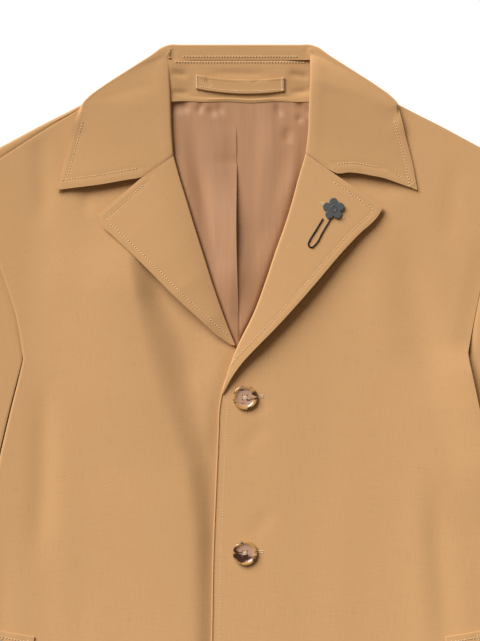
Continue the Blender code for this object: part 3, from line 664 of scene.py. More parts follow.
def satin_lining():
    """Viscose satin: long floats give a soft sheen that runs down the cloth."""
    material, tree, shader = new_material("viscose_satin_lining", {
        "Roughness": 0.52, "Specular IOR Level": 0.35, "Sheen Weight": 0.10, "Sheen Roughness": 0.4})
    weave = add_node(tree, "ShaderNodeUVMap", {"uv_map": "weave"}).outputs["UV"]
    # Floats about 1 mm wide and 40 mm long.
    stretched = add_node(tree, "ShaderNodeMapping", {"Scale": (900, 25, 1)}, {"Vector": weave})
    floats = add_node(tree, "ShaderNodeTexNoise", {"Scale": 1.0, "Detail": 2.0},
                      {"Vector": stretched.outputs["Vector"]})
    broad = add_node(tree, "ShaderNodeMapping", {"Scale": (60, 6, 1)}, {"Vector": weave})
    cloud = add_node(tree, "ShaderNodeTexNoise", {"Scale": 1.0, "Detail": 2.0},
                     {"Vector": broad.outputs["Vector"]})
    tone = add_node(tree, "ShaderNodeMath", {"operation": "MULTIPLY_ADD", 1: 0.35},
                    {0: floats.outputs["Fac"], 2: cloud.outputs["Fac"]})
    lining = colours().lining
    ramp = add_node(tree, "ShaderNodeValToRGB", links={"Fac": tone.outputs["Value"]})
    ramp.color_ramp.elements[0].position = 0.5
    ramp.color_ramp.elements[0].color = shade(lining, 0.88)
    ramp.color_ramp.elements[1].position = 0.85
    ramp.color_ramp.elements[1].color = shade(lining, 1.06)
    tree.links.new(ramp.outputs["Color"], shader.inputs["Base Color"])
    bump = add_node(tree, "ShaderNodeBump", {"Strength": 0.15, "Distance": 0.0002},
                    {"Height": floats.outputs["Fac"]})
    tree.links.new(bump.outputs["Normal"], shader.inputs["Normal"])
    return material


def sewing_thread():
    """Polyester thread, a little paler and smoother than the cloth."""
    material, tree, shader = new_material("polyester_thread", {
        "Roughness": 0.55, "Specular IOR Level": 0.35, "Sheen Weight": 0.1})
    place = add_node(tree, "ShaderNodeTexCoord").outputs["Object"]
    # The thread's colour changes a little over a few millimetres.
    noise = add_node(tree, "ShaderNodeTexNoise", {"Scale": 300.0, "Detail": 1.0}, {"Vector": place})
    ramp = add_node(tree, "ShaderNodeValToRGB", links={"Fac": noise.outputs["Fac"]})
    ramp.color_ramp.elements[0].position = 0.35
    ramp.color_ramp.elements[0].color = shade(colours().thread, 0.82)
    ramp.color_ramp.elements[1].position = 0.65
    ramp.color_ramp.elements[1].color = shade(colours().thread, 1.05)
    tree.links.new(ramp.outputs["Color"], shader.inputs["Base Color"])
    return material


def horn_resin(radius):
    """Cast polyester made like horn: glossy, a rosy middle in a honey rim, with dark streaks."""
    material, tree, shader = new_material("horn_polyester", {
        "Roughness": 0.22, "Specular IOR Level": 0.55, "IOR": 1.54, "Coat Weight": 0.6,
        "Coat Roughness": 0.06})
    disc = add_node(tree, "ShaderNodeUVMap", {"uv_map": "disc"}).outputs["UV"]
    away = add_node(tree, "ShaderNodeVectorMath", {"operation": "LENGTH"}, {0: disc}).outputs["Value"]
    share = add_node(tree, "ShaderNodeMath", {"operation": "DIVIDE", 1: radius}, {0: away}).outputs["Value"]
    rings = add_node(tree, "ShaderNodeValToRGB", links={"Fac": share})
    rings.color_ramp.elements[0].position = 0.66
    rings.color_ramp.elements[0].color = shade(colours().horn_middle, 1.0)
    rings.color_ramp.elements[1].position = 0.80
    rings.color_ramp.elements[1].color = shade(colours().horn_pale, 1.0)
    place = add_node(tree, "ShaderNodeTexCoord").outputs["Object"]
    turned = add_node(tree, "ShaderNodeMapping", {"Rotation": (0, 0, math.radians(35)), "Scale": (1, 1.9, 1)},
                      {"Vector": place})
    # Streaks are 3 to 8 mm wide.
    streaks = add_node(tree, "ShaderNodeTexNoise",
                       {"Scale": 85.0, "Detail": 2.0, "Roughness": 0.45, "Distortion": 0.9},
                       {"Vector": turned.outputs["Vector"]})
    mask = add_node(tree, "ShaderNodeValToRGB", links={"Fac": streaks.outputs["Fac"]})
    mask.color_ramp.elements[0].position = 0.39
    mask.color_ramp.elements[0].color = (1.0, 1.0, 1.0, 1.0)
    mask.color_ramp.elements[1].position = 0.50
    mask.color_ramp.elements[1].color = (0.0, 0.0, 0.0, 1.0)
    # A mix of colours takes its share at input 0 and its colours at inputs 6 and 7.
    mixed = add_node(tree, "ShaderNodeMix", {"data_type": "RGBA", 7: shade(colours().horn_dark, 1.0)},
                     {0: mask.outputs["Color"], 6: rings.outputs["Color"]})
    tree.links.new(mixed.outputs[2], shader.inputs["Base Color"])
    return material


def slate_enamel():
    """Soft enamel over die-cast zinc: satin, with a slight orange peel."""
    material, tree, shader = new_material("slate_soft_enamel", {
        "Roughness": 0.42, "Specular IOR Level": 0.5, "Coat Weight": 0.25, "Coat Roughness": 0.2})
    place = add_node(tree, "ShaderNodeTexCoord").outputs["Object"]
    peel = add_node(tree, "ShaderNodeTexNoise", {"Scale": 900.0, "Detail": 2.0}, {"Vector": place})
    ramp = add_node(tree, "ShaderNodeValToRGB", links={"Fac": peel.outputs["Fac"]})
    ramp.color_ramp.elements[0].color = shade(colours().slate, 0.75)
    ramp.color_ramp.elements[1].color = shade(colours().slate, 1.25)
    tree.links.new(ramp.outputs["Color"], shader.inputs["Base Color"])
    bump = add_node(tree, "ShaderNodeBump", {"Strength": 0.1, "Distance": 0.0001},
                    {"Height": peel.outputs["Fac"]})
    tree.links.new(bump.outputs["Normal"], shader.inputs["Normal"])
    return material


def dark_wire():
    """Steel wire darkened by plating: dull metal with fine drawing lines."""
    material, tree, shader = new_material("darkened_steel_wire", {"Roughness": 0.38, "Metallic": 1.0})
    place = add_node(tree, "ShaderNodeTexCoord").outputs["Object"]
    grain = add_node(tree, "ShaderNodeTexNoise", {"Scale": 1400.0, "Detail": 2.0}, {"Vector": place})
    ramp = add_node(tree, "ShaderNodeValToRGB", links={"Fac": grain.outputs["Fac"]})
    ramp.color_ramp.elements[0].color = shade(colours().wire, 0.8)
    ramp.color_ramp.elements[1].color = shade(colours().wire, 1.6)
    tree.links.new(ramp.outputs["Color"], shader.inputs["Base Color"])
    return material


MAKERS = {}


def finish(maker, *settings):
    """The material that a function makes, made once."""
    if maker not in MAKERS:
        MAKERS[maker] = maker(*settings)
    return MAKERS[maker]


# ---- body panels --------------------------------------------------------------------
ARMHOLE_START = 0.085       # where the right front's armhole starts, below the back's roll
OVERLAP_TUCK = 0.0014       # how far the right front sinks where the left one hides it
BREAK_DOWN = 0.3520         # where the left lapel starts to turn
EDGE_CURL = 0.0012          # how far the left front's edge curls up
CURL_REACH = 1.3            # over how many insets of its stitching it curls
BUNCH = 0.0074              # how much higher the cloth stands where it bunches below the left armhole
BUNCH_STEEP = 1.6           # how much steeper its side falls there
LEAST_RISE = 0.0008         # a front stands at least this far over its folded rims
ARMHOLE_DIP = 0.0015        # how far the cloth sinks on both sides of the left armhole's seam
SEAM_DIP = 0.0008           # and right at the other seams
SEAM_WIDTH = 0.0014         # half of the width of that dip
ROLL_WAY = Vector((0.42, -0.91, 0))     # in from the right shoulder's edge
ROLL_SIDE = -0.086          # the back's right shoulder rolls over outside this


def calm_at_rims(from_head, from_side):
    """Folds die out at a panel's seams."""
    return ease(from_head, 0.0, 0.014) * ease(from_side, 0.0, 0.012)


def bunching(x, down):
    """How much higher the left front stands where its cloth bunches below the armhole."""
    from_seam = across_at(LEFT.side, down) - x
    near = bunched(down) * (1 - ease(from_seam, 0.003, 0.050))
    wide = ease(down, 0.262, 0.385) * (1 - ease(down, 0.430, 0.520))
    wide *= 1 - ease(from_seam, 0.003, 0.120)
    return BUNCH * (near + wide) / 2


def front_plan(half):
    """A front in plan: rows of points from its inner edge to its armhole and side."""
    first = 0.0 if half is LEFT else ARMHOLE_START
    armhole = outline(half.armhole, half.sign, [first + (1 - first) * share for share in even(60)])
    outer = armhole + outline(half.side, half.sign, even(140))[1:]
    steps = max(3, round(lengths_of(outer)[-1] / sizes().mesh_step))
    outer = close_at_rims(outer, steps, True, False)
    downs = shares_of(outer)
    inner = outline(half.inner, half.sign, downs)
    across = even(48)
    head = outline(half.shoulder, half.sign, across, soft=False)
    head[-1] = outer[0].copy()
    foot = along([inner[-1], outer[-1]], across)
    return [close_at_rims(row, 56) for row in patch(head, foot, inner, outer, across, downs)]


def front(half):
    """One front, from the shoulder seam to the hem, with the folds that lie in it."""
    left = half is LEFT
    side_start = half.side[0][1]
    rows = front_plan(half)
    for row in rows:
        side_part = ease(down_of(row[-1]), side_start - 0.004, side_start + 0.030)
        for point, at_head in zip(row, rows[0]):
            x, down = point.x, down_of(point)
            low = rim_height(x, down)
            from_side = (point - row[-1]).length
            from_head = (point - at_head).length
            steep = 1 + BUNCH_STEEP * bunched(down) if left else 1.0
            share = 1 - side_part * (1 - rounded(from_side * steep))
            height = front_face(half, x, down) - low
            if left:
                share = min(share, rounded(from_head))
                beside_armhole = (1 - side_part) * ease(down, 0.180, 0.240)
                height += bunching(x, down)
                height -= ARMHOLE_DIP * beside_armhole * (1 - ease(from_side, 0.0, 0.024))
            height *= share
            height += front_folds(half, x, down) * calm_at_rims(from_head, from_side)
            if left:
                from_front = (point - row[0]).length
                curl = EDGE_CURL * (1 - ease(from_front, 0.0, CURL_REACH * sizes().edge_inset))
                height += (sewn_edge(from_front) + curl) * ease(down, BREAK_DOWN - 0.012, BREAK_DOWN + 0.010)
            else:
                height -= ridge(from_head, SEAM_DIP, SEAM_WIDTH)
                height -= ridge(from_side, SEAM_DIP, SEAM_WIDTH) * (1 - side_part)
            point.z = low + max(height, 0.0 if share < 1 else LEAST_RISE)
    piece = cloth_piece(f"front_{half.name}", rows)


def front_folds(half, x, down):
    """Folds of a front; the right one swells, and sinks under the left one's edge."""
    height = relief(FRONT_FOLDS[half.name], x, down)
    if half is LEFT:
        return height
    fall = across_at(SWELL_FALL, down)
    fallen = ease(x, fall, fall + across_at(SWELL_REACH, down))
    swell = ease(x, SWELL_SIDE, fall - 0.008) * (1 - fallen)
    head = 0.125 + 0.034 * ease(x, -0.200, -0.130)
    lower = 1 - 0.25 * ease(down, 0.350, 0.460) - 0.27 * ease(down, 0.450, 0.600)
    height += SWELL * swell * ease(down, head, 0.262) * lower
    beside_lapel = ease(down, 0.215, 0.262) * (1 - ease(down, 0.340, 0.400)) * (1 - ease(x, -0.050, -0.020))
    height -= HOLLOW * fallen * beside_lapel
    under_left = max(0.0, across_at(LEFT.inner, down) - x)
    return height - OVERLAP_TUCK * (1 - ease(under_left, 0.0, 0.012)) * ease(down, 0.290, 0.330)


def shoulder_roll(point):
    """From the right shoulder's edge over to the seam on the front, in one column."""
    radius = (FRONT_TOP - point.z) / 2
    column = [point.copy()]
    for angle in range(15, 181, 15):
        turn = math.radians(angle)
        back_in = radius * (1 - math.sin(turn)) if angle > 90 else 0.0
        column.append(point + ROLL_WAY * back_in + Vector((0, 0, radius * (1 - math.cos(turn)))))
    end = lift(point + ROLL_WAY * max(seam_distance(point, ROLL_WAY) - SEAM, 0.0045), FRONT_TOP)
    top = column[-1]
    for share in (0.2, 0.4, 0.6, 0.8, 0.92, 1.0):
        place = top.lerp(end, share)
        place.z -= ridge((end - place).length, SEAM_DIP, SEAM_WIDTH)
        column.append(place)
    return column


def seam_distance(point, direction):
    """How far the right shoulder's seam lies from a point, in plan."""
    seam = spots(RIGHT.shoulder, -1)
    seam = [seam[0] + Vector((0.05, 0.02, 0)), *seam, seam[-1] + (seam[-1] - seam[-2])]
    for a, b in zip(seam, seam[1:]):
        run = b - a
        across = direction.x * run.y - direction.y * run.x
        if abs(across) < 1e-9:
            continue
        gap = a - point
        reach = (gap.x * run.y - gap.y * run.x) / across
        share = (gap.x * direction.y - gap.y * direction.x) / across
        if 0 <= share <= 1 and 0 < reach < 0.08:
            return reach
    raise ValueError("the shoulder's column misses its seam")


def outer_edge(half):
    """The back's armhole and side."""
    return outline(half.armhole, half.sign, even(40)) + outline(half.side, half.sign, even(70))[1:]


def back():
    """The back, flat on the surface, whose right shoulder rolls over to its seam."""
    left_edge, right_edge = outer_edge(LEFT), outer_edge(RIGHT)
    downs = shares_of(right_edge)
    neck = [(-0.085, 0.036), (-0.050, 0.0510), (0.0, 0.0540), (0.050, 0.0510), (0.085, 0.036)]
    top = [(-x, down) for x, down in reversed(LEFT.shoulder[1:])] + neck + LEFT.shoulder[1:]
    across = even(90)
    head = outline(top, 1, across, soft=False)
    head[0], head[-1] = right_edge[0].copy(), left_edge[0].copy()
    foot = along([right_edge[-1], left_edge[-1]], across)
    rows = patch(head, foot, right_edge, left_edge, across, downs)
    for row in rows:
        for point in row:
            point.z = back_under(point.x, down_of(point))
    rolled = [shoulder_roll(point) for point in rows[0] if point.x < ROLL_SIDE]
    piece = cloth_piece("back", rows, list(zip(*rolled)))


# The lining's edge, and its centre pleat from its top to the foot of what shows.
LINING_EDGE = [(0.0765, 0.0545), (0.0745, 0.091), (0.090, 0.130), (0.066, 0.250), (0.030, 0.345)]
PLEAT = ((-0.0052, 0.0600), (-0.0030, 0.3200))
PLEAT_LAP = 0.0004          # where the pleat's lower layer starts, past its fold
LINING_LIE = 0.0016         # how loosely the lining lies on the back
LINING_PUFF = 0.0018        # and how much higher it stands beside the fronts


def pleat_x(down):
    """The pleat's fold wanders a little on its way down."""
    share = (down - PLEAT[0][1]) / (PLEAT[1][1] - PLEAT[0][1])
    return PLEAT[0][0] + (PLEAT[1][0] - PLEAT[0][0]) * share + 0.0008 * math.sin(9 * share)


def pleat_height(down):
    """The pleat stands higher towards its foot, and is pinched in one place."""
    pinch = 1 - ridge(down - 0.121, 0.6, 0.006)
    ends = ease(down, 0.080, 0.098) * (1 - ease(down, 0.296, 0.317))
    return (0.0008 + 0.0114 * ease(down, 0.11, 0.22) * (1 - 0.85 * ease(down, 0.232, 0.292))) * pinch * ends


def lining():
    """The back's lining, as far as it shows inside the open neck, with a centre pleat."""
    shares = even(110)
    rows = []
    for right, left in zip(outline(LINING_EDGE, -1, shares), outline(LINING_EDGE, 1, shares)):
        down = down_of(right)
        middle = pleat_x(down)
        upper = close_at_rims([right, spot(middle, down)], 24, False, True)
        lower = close_at_rims([spot(middle + PLEAT_LAP, down), left], 24, True, False)
        for point in upper:
            point.z = pleat_height(down) * (1 - ease(middle - point.x, -0.016, 0.044))
        reach = across_at(LEFT.roll, down) - middle
        falls = pleat_height(down) * (0.20 * ease(down, 0.110, 0.190) + 0.45 * ease(down, 0.190, 0.250))
        for point in lower:
            point.z = falls * max(0.0, 1 - (point.x - middle) / reach)
        for point in upper + lower:
            half = RIGHT if point.x < 0 else LEFT
            inside = across_at(half.roll, down) - abs(point.x)
            shown = 1 - (1 - ease(inside, -0.002, 0.003)) * ease(down, 0.095, 0.125)
            rest = max(back_under(point.x, down), COLLAR_LIFT * (1 - ease(down, 0.085, 0.270)))
            height = LINING_LIE + point.z + relief(LINING_FOLDS, point.x, down)
            height += LINING_PUFF * (1 - ease(inside, 0.002, 0.024)) * ease(down, 0.105, 0.150)
            point.z = rest + BACK_WALL + GAP + max(0.0, height) * shown
        rows.append(upper + lower)
    piece = cloth_piece("back_lining", rows, grow=1.0, lining=True)


# How tightly a sleeve's inner side rounds off, as a share of its outer side.
SLEEVE_ROUND = {"right": 0.85, "left": 0.6}
SLEEVE_SINK = 0.0036        # how much the left sleeve sinks beside the body


def sleeve(half):
    """A sleeve's two panels: the under one on the surface, the upper one on its rim."""
    inner = outline(half.sleeve_in, half.sign, even(110))
    outer = outline(half.sleeve_out, half.sign, even(110))
    across = even(34)
    armhole = reversed(outline(half.armhole, half.sign, across))
    head = [place + Vector((half.sign * SEAM, 0, 0)) for place in armhole]
    head[0], head[-1] = inner[0].copy(), outer[0].copy()
    foot = along([inner[-1], outer[-1]], across)
    flat = patch(head, foot, inner, outer, across, even(110))
    under = cloth_piece(f"sleeve_{half.name}_under", flat[::2], grow=1.0)
    rows = [close_at_rims(row, 26) for row in flat]
    low = BACK_WALL + GAP + RIM_DIP
    for i, row in enumerate(rows):
        open_edge = 1 - ease(i / (len(rows) - 1), 0.0, 0.08)
        for point, at_head in zip(row, rows[0]):
            down = down_of(point)
            beside = (point - row[0]).length
            from_edge = min(beside * SLEEVE_ROUND[half.name], (point - row[-1]).length)
            at_side = rounded(from_edge)
            share = at_side + (1 - at_side) * open_edge * ease(from_edge, -0.001, 0.012)
            from_head = (point - at_head).length
            seam = ridge(from_head, SEAM_DIP, SEAM_WIDTH)
            sunk = 0.0
            if half is LEFT:
                bunch = bunched(down)
                sunk = SLEEVE_SINK * (1 - ease(beside, 0.002 + 0.012 * bunch, 0.030 + 0.035 * bunch))
                seam += ARMHOLE_DIP * (1 - ease(from_head, 0.0, 0.016)) * ease(down, 0.180, 0.240)
            fold = relief(SLEEVE_FOLDS, abs(point.x), down) * calm_at_rims(from_head, from_edge)
            point.z = low + (FRONT_TOP - low - sunk) * share + fold - seam * share
    upper = cloth_piece(f"sleeve_{half.name}_upper", rows, even_wall=False)


# ---- lapels, collar, stand and loop -------------------------------------------------
LAPEL_CLEAR = 0.0005        # between a front and the lapel where it turns
LAPEL_KNEE = 0.4            # how far across its middle height is given
ROLL_TAIL = 0.0010          # how far a lapel goes on below its roll
GORGE_GAP = Vector((0, -0.0004, 0))     # the lapel's side of the seam that joins it to the collar
# How high a lapel's face stands, along it from the notch: at its roll, at its knee and at its edge.
LapelRow = namedtuple("LapelRow", "share roll middle edge")
LAPEL_ROWS = {
    "right": [LapelRow(0.0, 0.0122, 0.0140, 0.0130), LapelRow(0.22, 0.0118, 0.0166, 0.0162),
              LapelRow(0.42, 0.0122, 0.0180, 0.0182), LapelRow(0.60, 0.0126, 0.0182, 0.0184),
              LapelRow(0.82, 0.0122, 0.0156, 0.0158), LapelRow(1.0, 0.0100, 0.0100, 0.0094)],
    "left": [LapelRow(0.0, 0.0130, 0.0134, 0.0124), LapelRow(0.22, 0.0148, 0.0158, 0.0160),
             LapelRow(0.50, 0.0172, 0.0184, 0.0198), LapelRow(0.75, 0.0178, 0.0190, 0.0204),
             LapelRow(0.92, 0.0146, 0.0152, 0.0158), LapelRow(1.0, 0.0110, 0.0108, 0.0102)],
}


def heights_at(table, share):
    """The three heights at a share of the way along, between the table's rows."""
    for a, b in zip(table, table[1:]):
        if share <= b.share:
            part = (share - a.share) / (b.share - a.share)
            return [p + (q - p) * part for p, q in zip(a[1:], b[1:])]
    return list(table[-1][1:])


def bowed(start, middle, end, knee, part):
    """A smooth height through three, the second of them at the knee."""
    at_start = (part - knee) * (part - 1) / knee
    at_knee = part * (part - 1) / (knee * (knee - 1))
    at_end = part * (part - knee) / (1 - knee)
    return start * at_start + middle * at_knee + end * at_end


def lapel(half):
    """A lapel: it turns over at its roll and springs clear of its front to its edge."""
    shares = shares_of(close_at_rims(outline(half.edge, half.sign, even(60)), 58))
    rolls = outline(half.roll, half.sign, shares)
    edges = outline(half.edge, half.sign, shares)
    across = even(40)
    head = along([rolls[0], notch_corner(half) + GORGE_GAP, edges[0]], across)
    foot = along([rolls[-1], edges[-1]], across)
    rows = []
    for share, plan in zip(shares, patch(head, foot, rolls, edges, across, shares)):
        roll = plan[0]
        width = lengths_of(plan)[-1]
        outwards = (plan[-1] - roll).normalized()
        top, middle, rim = heights_at(LAPEL_ROWS[half.name], share)
        low = front_face(half, roll.x, down_of(roll)) + LAPEL_CLEAR
        radius = max(0.0, (top - low) / 2)
        reach = min(0.5 * radius, width / 3)
        row = [lift(roll + outwards * (reach + ROLL_TAIL), low)]
        for angle in range(0, 181, 15):
            turn = math.radians(angle)
            place = roll + outwards * reach * (1 - math.sin(turn))
            row.append(lift(place, low + radius * (1 - math.cos(turn))))
        past_roll = [reach / width + (1 - reach / width) * part for part in across]
        rest = close_at_rims(along(plan, past_roll), 22, False, True)
        for place, part in zip(rest[1:], shares_of(rest)[1:]):
            from_edge = (plan[-1] - place).length
            height = bowed(top, middle, rim, LAPEL_KNEE, part)
            height += sewn_edge(min(from_edge, from_notch_edge(half, place))) * ease(width, 0.012, 0.03)
            row.append(lift(place, height))
        rows.append(row)
    piece = cloth_piece(f"lapel_{half.name}", rows, even_wall=False)


def notch_corner(half):
    """Where the collar leaves the lapel's top edge."""
    return spots(half.gorge, half.sign)[1]


def from_notch_edge(half, place):
    """Distance from the lapel's free top edge, which starts at the notch."""
    return distance_to([notch_corner(half), spots(half.edge, half.sign)[0]], place)


LEAF_KNEE = 0.33                # how far across a leaf its middle height is given
# How high a leaf of the collar stands, by section from the gorge: at its knee and at its edge.
LEAF_HEIGHTS = {
    "right": [(0.0134, 0.0118), (0.0134, 0.0106), (0.0139, 0.0112), (0.0144, 0.0128)],
    "left": [(0.0134, 0.0092), (0.0150, 0.0089), (0.0170, 0.0099), (0.0182, 0.0118)],
}
# How much higher the fold stands than the sections say, from the gorge on.
FOLD_RISE = {"right": (), "left": (0.0028, 0.0056, 0.0074, 0.0076, 0.0066, 0.0050, 0.0026)}
GORGE_STEPS = (0.06, 0.20, 0.50)        # more sections next to the gorge
LEAF_FOOT_INSET = 0.0098        # top stitching of a leaf's lower edge, which is sewn further in
LEAF_LOWEST = 0.0085            # a leaf's upper face is nowhere lower
NECK_TURN_TOP = 0.0120          # face of the collar where it goes over behind the neck
SHOULDER_TURN_TOP = 0.0140      # and over the shoulder
TURN_REACH = 0.0020     # how far that turn bows out
# Which way the collar goes back under, from its turn: on the shoulder, at its neck end and behind the neck.
TURN_WAYS = ((0.01, 0.540, 0.842), (0.001, 0.33, 0.944), (-1.0, 0.0, 1.0))
# The collar's roll, from its under layer up: distance in from the fold, and height below its top.
COLLAR_ROLL = ((0.0045, -0.0075), (0.0009, -0.0066), (0.0, -0.0038), (0.0009, -0.0010), (0.0050, 0.0))


def collar_section(half, row, leaf, path=None):
    """One section of the collar, from its inner seam over the fold to its outer edge."""
    sign = half.sign
    height = row.fold_height
    fold_place = spot(sign * row.fold[0], row.fold[1])
    if row.seam:
        start = spot(sign * row.seam[0], row.seam[1], STAND_TOP + 0.0004)
        points = along([start, lift(fold_place, height)], even(5))
    else:
        out = Vector((sign, 0, 0))
        if path:
            out = (spots(path, sign)[0] - fold_place).normalized()
        points = [lift(fold_place + out * off, height + drop_by) for off, drop_by in COLLAR_ROLL]
    first = points[-1]
    if row.turn is not None:
        return points + over_the_turn(sign, row, first, height)
    route = [lift(place, 0) for place in [first, *spots(path or [row.edge], sign)]]
    whole = lengths_of(route)[-1]
    near = [k / 7 * (whole - row.spread) / whole for k in range(1, 7)]
    tail = [(whole - row.spread + row.spread * k / 9) / whole for k in range(0, 10)]
    stretch = along(route, near + tail)
    for place, part in zip(stretch, near + tail):
        place.z = bowed(height, leaf[0], leaf[1], LEAF_KNEE, part)
    return points + stretch


def over_the_turn(sign, row, first, height):
    """The outer part of a section that goes over the shoulder or the neck and back under."""
    over = spot(sign * row.turn[0], row.turn[1])
    side_way, down_way = next(way for limit, *way in TURN_WAYS if row.turn[1] > limit)
    inwards = Vector((-sign * side_way, -down_way, 0))
    centre = over + inwards * TURN_REACH
    top = NECK_TURN_TOP + (SHOULDER_TURN_TOP - NECK_TURN_TOP) * ease(row.turn[1], 0.0, 0.0035)
    upper_end = lift(centre, top)
    last = 1 - 0.0016 / max((upper_end - first).length, 0.003)
    points = []
    for share in [last * k / 6 for k in range(1, 7)]:
        place = first.lerp(upper_end, share)
        place.z = top + (height - top) * (1 - ease(share, -0.1, 1.0))
        points.append(place)
    bends = [row.sweep * k / 6 for k in range(7)]
    if row.edge is None:
        bends += [row.sweep + 5 * k for k in (1, 2, 3)]
    for bend in bends:
        place = centre - inwards * TURN_REACH * math.sin(math.radians(bend))
        points.append(lift(place, top / 2 * (1 + math.cos(math.radians(bend)))))
    if row.edge:
        points += along([lift(centre, 0), spot(sign * row.edge[0], row.edge[1])], (0.3, 0.65, 1))
    return points


def half_collar(half):
    """The sections of half the collar, from its gorge to beside the middle of the back."""
    leaves = LEAF_HEIGHTS[half.name]
    gorge = CollarRow(half.gorge[0], COLLAR_FRONT_HEIGHT, None, 0, half.gorge[-1], COLLAR_FRONT_SPREAD, None)
    rows = [collar_section(half, gorge, leaves[0], half.gorge[1:])]
    for k, row in enumerate(COLLAR_ROWS):
        if k < len(FOLD_RISE[half.name]):
            row = row._replace(fold_height=row.fold_height + FOLD_RISE[half.name][k])
        if k < len(LEAF_REACH[half.name]):
            row = row._replace(edge=leaf_edge(half)[k])
        rows.append(collar_section(half, row, leaves[min(k + 1, len(leaves) - 1)]))
    between = [[a.lerp(b, share) for a, b in zip(rows[0], rows[1])] for share in GORGE_STEPS]
    return [rows[0], *between, *rows[1:]]


def leaf_edge(half):
    """Places along the outer edge of a leaf, from its point to the shoulder."""
    return [(row.edge[0] + reach, row.edge[1]) for row, reach in zip(COLLAR_ROWS, LEAF_REACH[half.name])]


def leaf_rim(half):
    """The free edge of a leaf in plan, from the notch round its point to the shoulder."""
    return spots(half.gorge[1:] + leaf_edge(half), half.sign)


def collar():
    """The collar in one piece, from the right gorge round the back to the left one."""
    middle = collar_section(LEFT, COLLAR_MIDDLE, None)
    sections = [*half_collar(RIGHT), middle, *reversed(half_collar(LEFT))]
    columns = [soften(list(column), 5) for column in zip(*[soften(section, 3) for section in sections])]
    piece = add_piece("collar_cloth", grid_mesh("collar", [list(zip(*columns))]), finish(camel_wool))
    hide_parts("collar")
    rims = {half.sign: leaf_rim(half) for half in HALVES}
    gorges = {half.sign: spots(half.gorge[:2], half.sign) for half in HALVES}
    closer = sizes().edge_inset / LEAF_FOOT_INSET
    for vertex in piece.data.vertices:
        place = vertex.co
        if vertex.normal.z < 0.3 or place.z < LEAF_LOWEST or down_of(place) < 0.030:
            continue
        sign = 1 if place.x > 0 else -1
        calm = ease(place.z, LEAF_LOWEST, LEAF_LOWEST + 0.0010)
        from_foot = distance_to(rims[sign][:3], place) * closer
        place.z += sewn_edge(min(from_foot, distance_to(rims[sign][2:], place))) * calm
        place.z -= ridge(distance_to(gorges[sign], place), 0.0004, 0.0016)
    thicken(piece, sizes().collar_wall, even_wall=False)


def stand():
    """The band inside the neck, with a rolled lower edge."""
    low, high = COLLAR_INSIDE_DOWN + SEAM, STAND_FOOT_DOWN
    rows = []
    for v in even(30):
        down = low + (high - low) * v
        row = []
        for u in even(90):
            x = STAND_HALF * (2 * u - 1)
            wave = 0.0005 * math.sin(x * 130) + 0.0004 * math.sin(x * 61 + 1)
            ends = ease(STAND_HALF - abs(x), 0.0, 0.01)
            raised = relief(STAND_FOLDS, x, down) * ends + STAND_TWIST * ease(-x, 0.050, STAND_HALF)
            raised -= STAND_TWIST * ease(x, 0.044, STAND_HALF) * (1 - ease(down, 0.046, 0.056))
            row.append(spot(x, down + wave * ease(v, 0.6, 1.0), stand_face(down) + raised))
        rows.append(row)
    piece = cloth_piece("collar_stand", rows)


LOOP_BOW = 0.0005           # how far the hanger loop stands off between its ends
LOOP_PUFF = 0.0004          # how far it swells within its edges, and lies off the band
LOOP_EDGE = 0.002           # how far in from an edge it swells
LOOP_FOLDS = [
    Fold((-0.036, 0.034), (-0.030, 0.045), 0.0, 0.0016, -0.0007),
    Fold((-0.010, 0.036), (0.014, 0.040), 0.001, 0.0014, -0.0006),
    Fold((0.010, 0.041), (0.034, 0.036), 0.001, 0.0016, -0.0006),
    Fold((-0.044, 0.032), (-0.034, 0.038), 0.0, 0.0018, 0.0006),
]


def loop_middle(x):
    """How far down the hanger loop's middle hangs."""
    share = x / LOOP_LENGTH + 0.5
    return LOOP_DOWN + LOOP_SAG * 4 * share * (1 - share) + LOOP_TILT * (share - 0.5)


def hanger_loop():
    """A folded strip of cloth tacked at both ends and bowed clear of the neck between them."""
    rows = []
    for share in even(70):
        x = (share - 0.5) * LOOP_LENGTH
        bow = ease(min(share, 1 - share), 0.0, 0.22)
        row = []
        for side in even(15):
            down = loop_middle(x) + (side - 0.5) * LOOP_WIDTH
            edge = min(side, 1 - side) * LOOP_WIDTH
            round_edge = LOOP_PUFF * math.sin(math.pi * min(1.0, edge / LOOP_EDGE))
            rise = LOOP_BOW * bow + round_edge + relief(LOOP_FOLDS, x, down)
            lower = 0.0002 * ease(side, 0.4, 1.0) * bow
            row.append(spot(x, down, stand_face(down) + LOOP_PUFF + rise + lower))
        rows.append(row)
    piece = cloth_piece("hanger_loop", rows, grow=1.0)


def welt_place(half, along_welt, across_welt):
    """A place on a slanted welt, from its upper inner corner."""
    x = WELT_CORNER[0] + math.sin(WELT_SLANT) * along_welt + math.cos(WELT_SLANT) * across_welt
    down = WELT_CORNER[1] + math.cos(WELT_SLANT) * along_welt - math.sin(WELT_SLANT) * across_welt
    return half.sign * x, down


def welt(half):
    """A slanted pocket welt, on the folds of its front, with a sewn-down edge."""
    rows = []
    for share in even(46):
        row = []
        for side in close_shares(WELT_WIDTH, 10):
            x, down = welt_place(half, WELT_LENGTH * share, WELT_WIDTH * side)
            from_edge = min(side, 1 - side) * WELT_WIDTH
            from_end = min(share, 1 - share) * WELT_LENGTH
            fold = relief(FRONT_FOLDS[half.name], x, down)
            swell = sewn_edge(min(from_edge, from_end))
            row.append(spot(x, down, front_face(half, x, down) + GAP + fold + swell))
        rows.append(row)
    piece = cloth_piece(f"pocket_welt_{half.name}", rows, grow=1.0)


def close_shares(width, count):
    """Shares of a width with points close together at both rims."""
    marks = [0.0, *[mark / width for mark in RIM_MARKS if mark < width / 2]]
    inside = [marks[-1] + (1 - 2 * marks[-1]) * k / (count + 1) for k in range(1, count + 1)]
    return marks + inside + [1 - mark for mark in reversed(marks)]


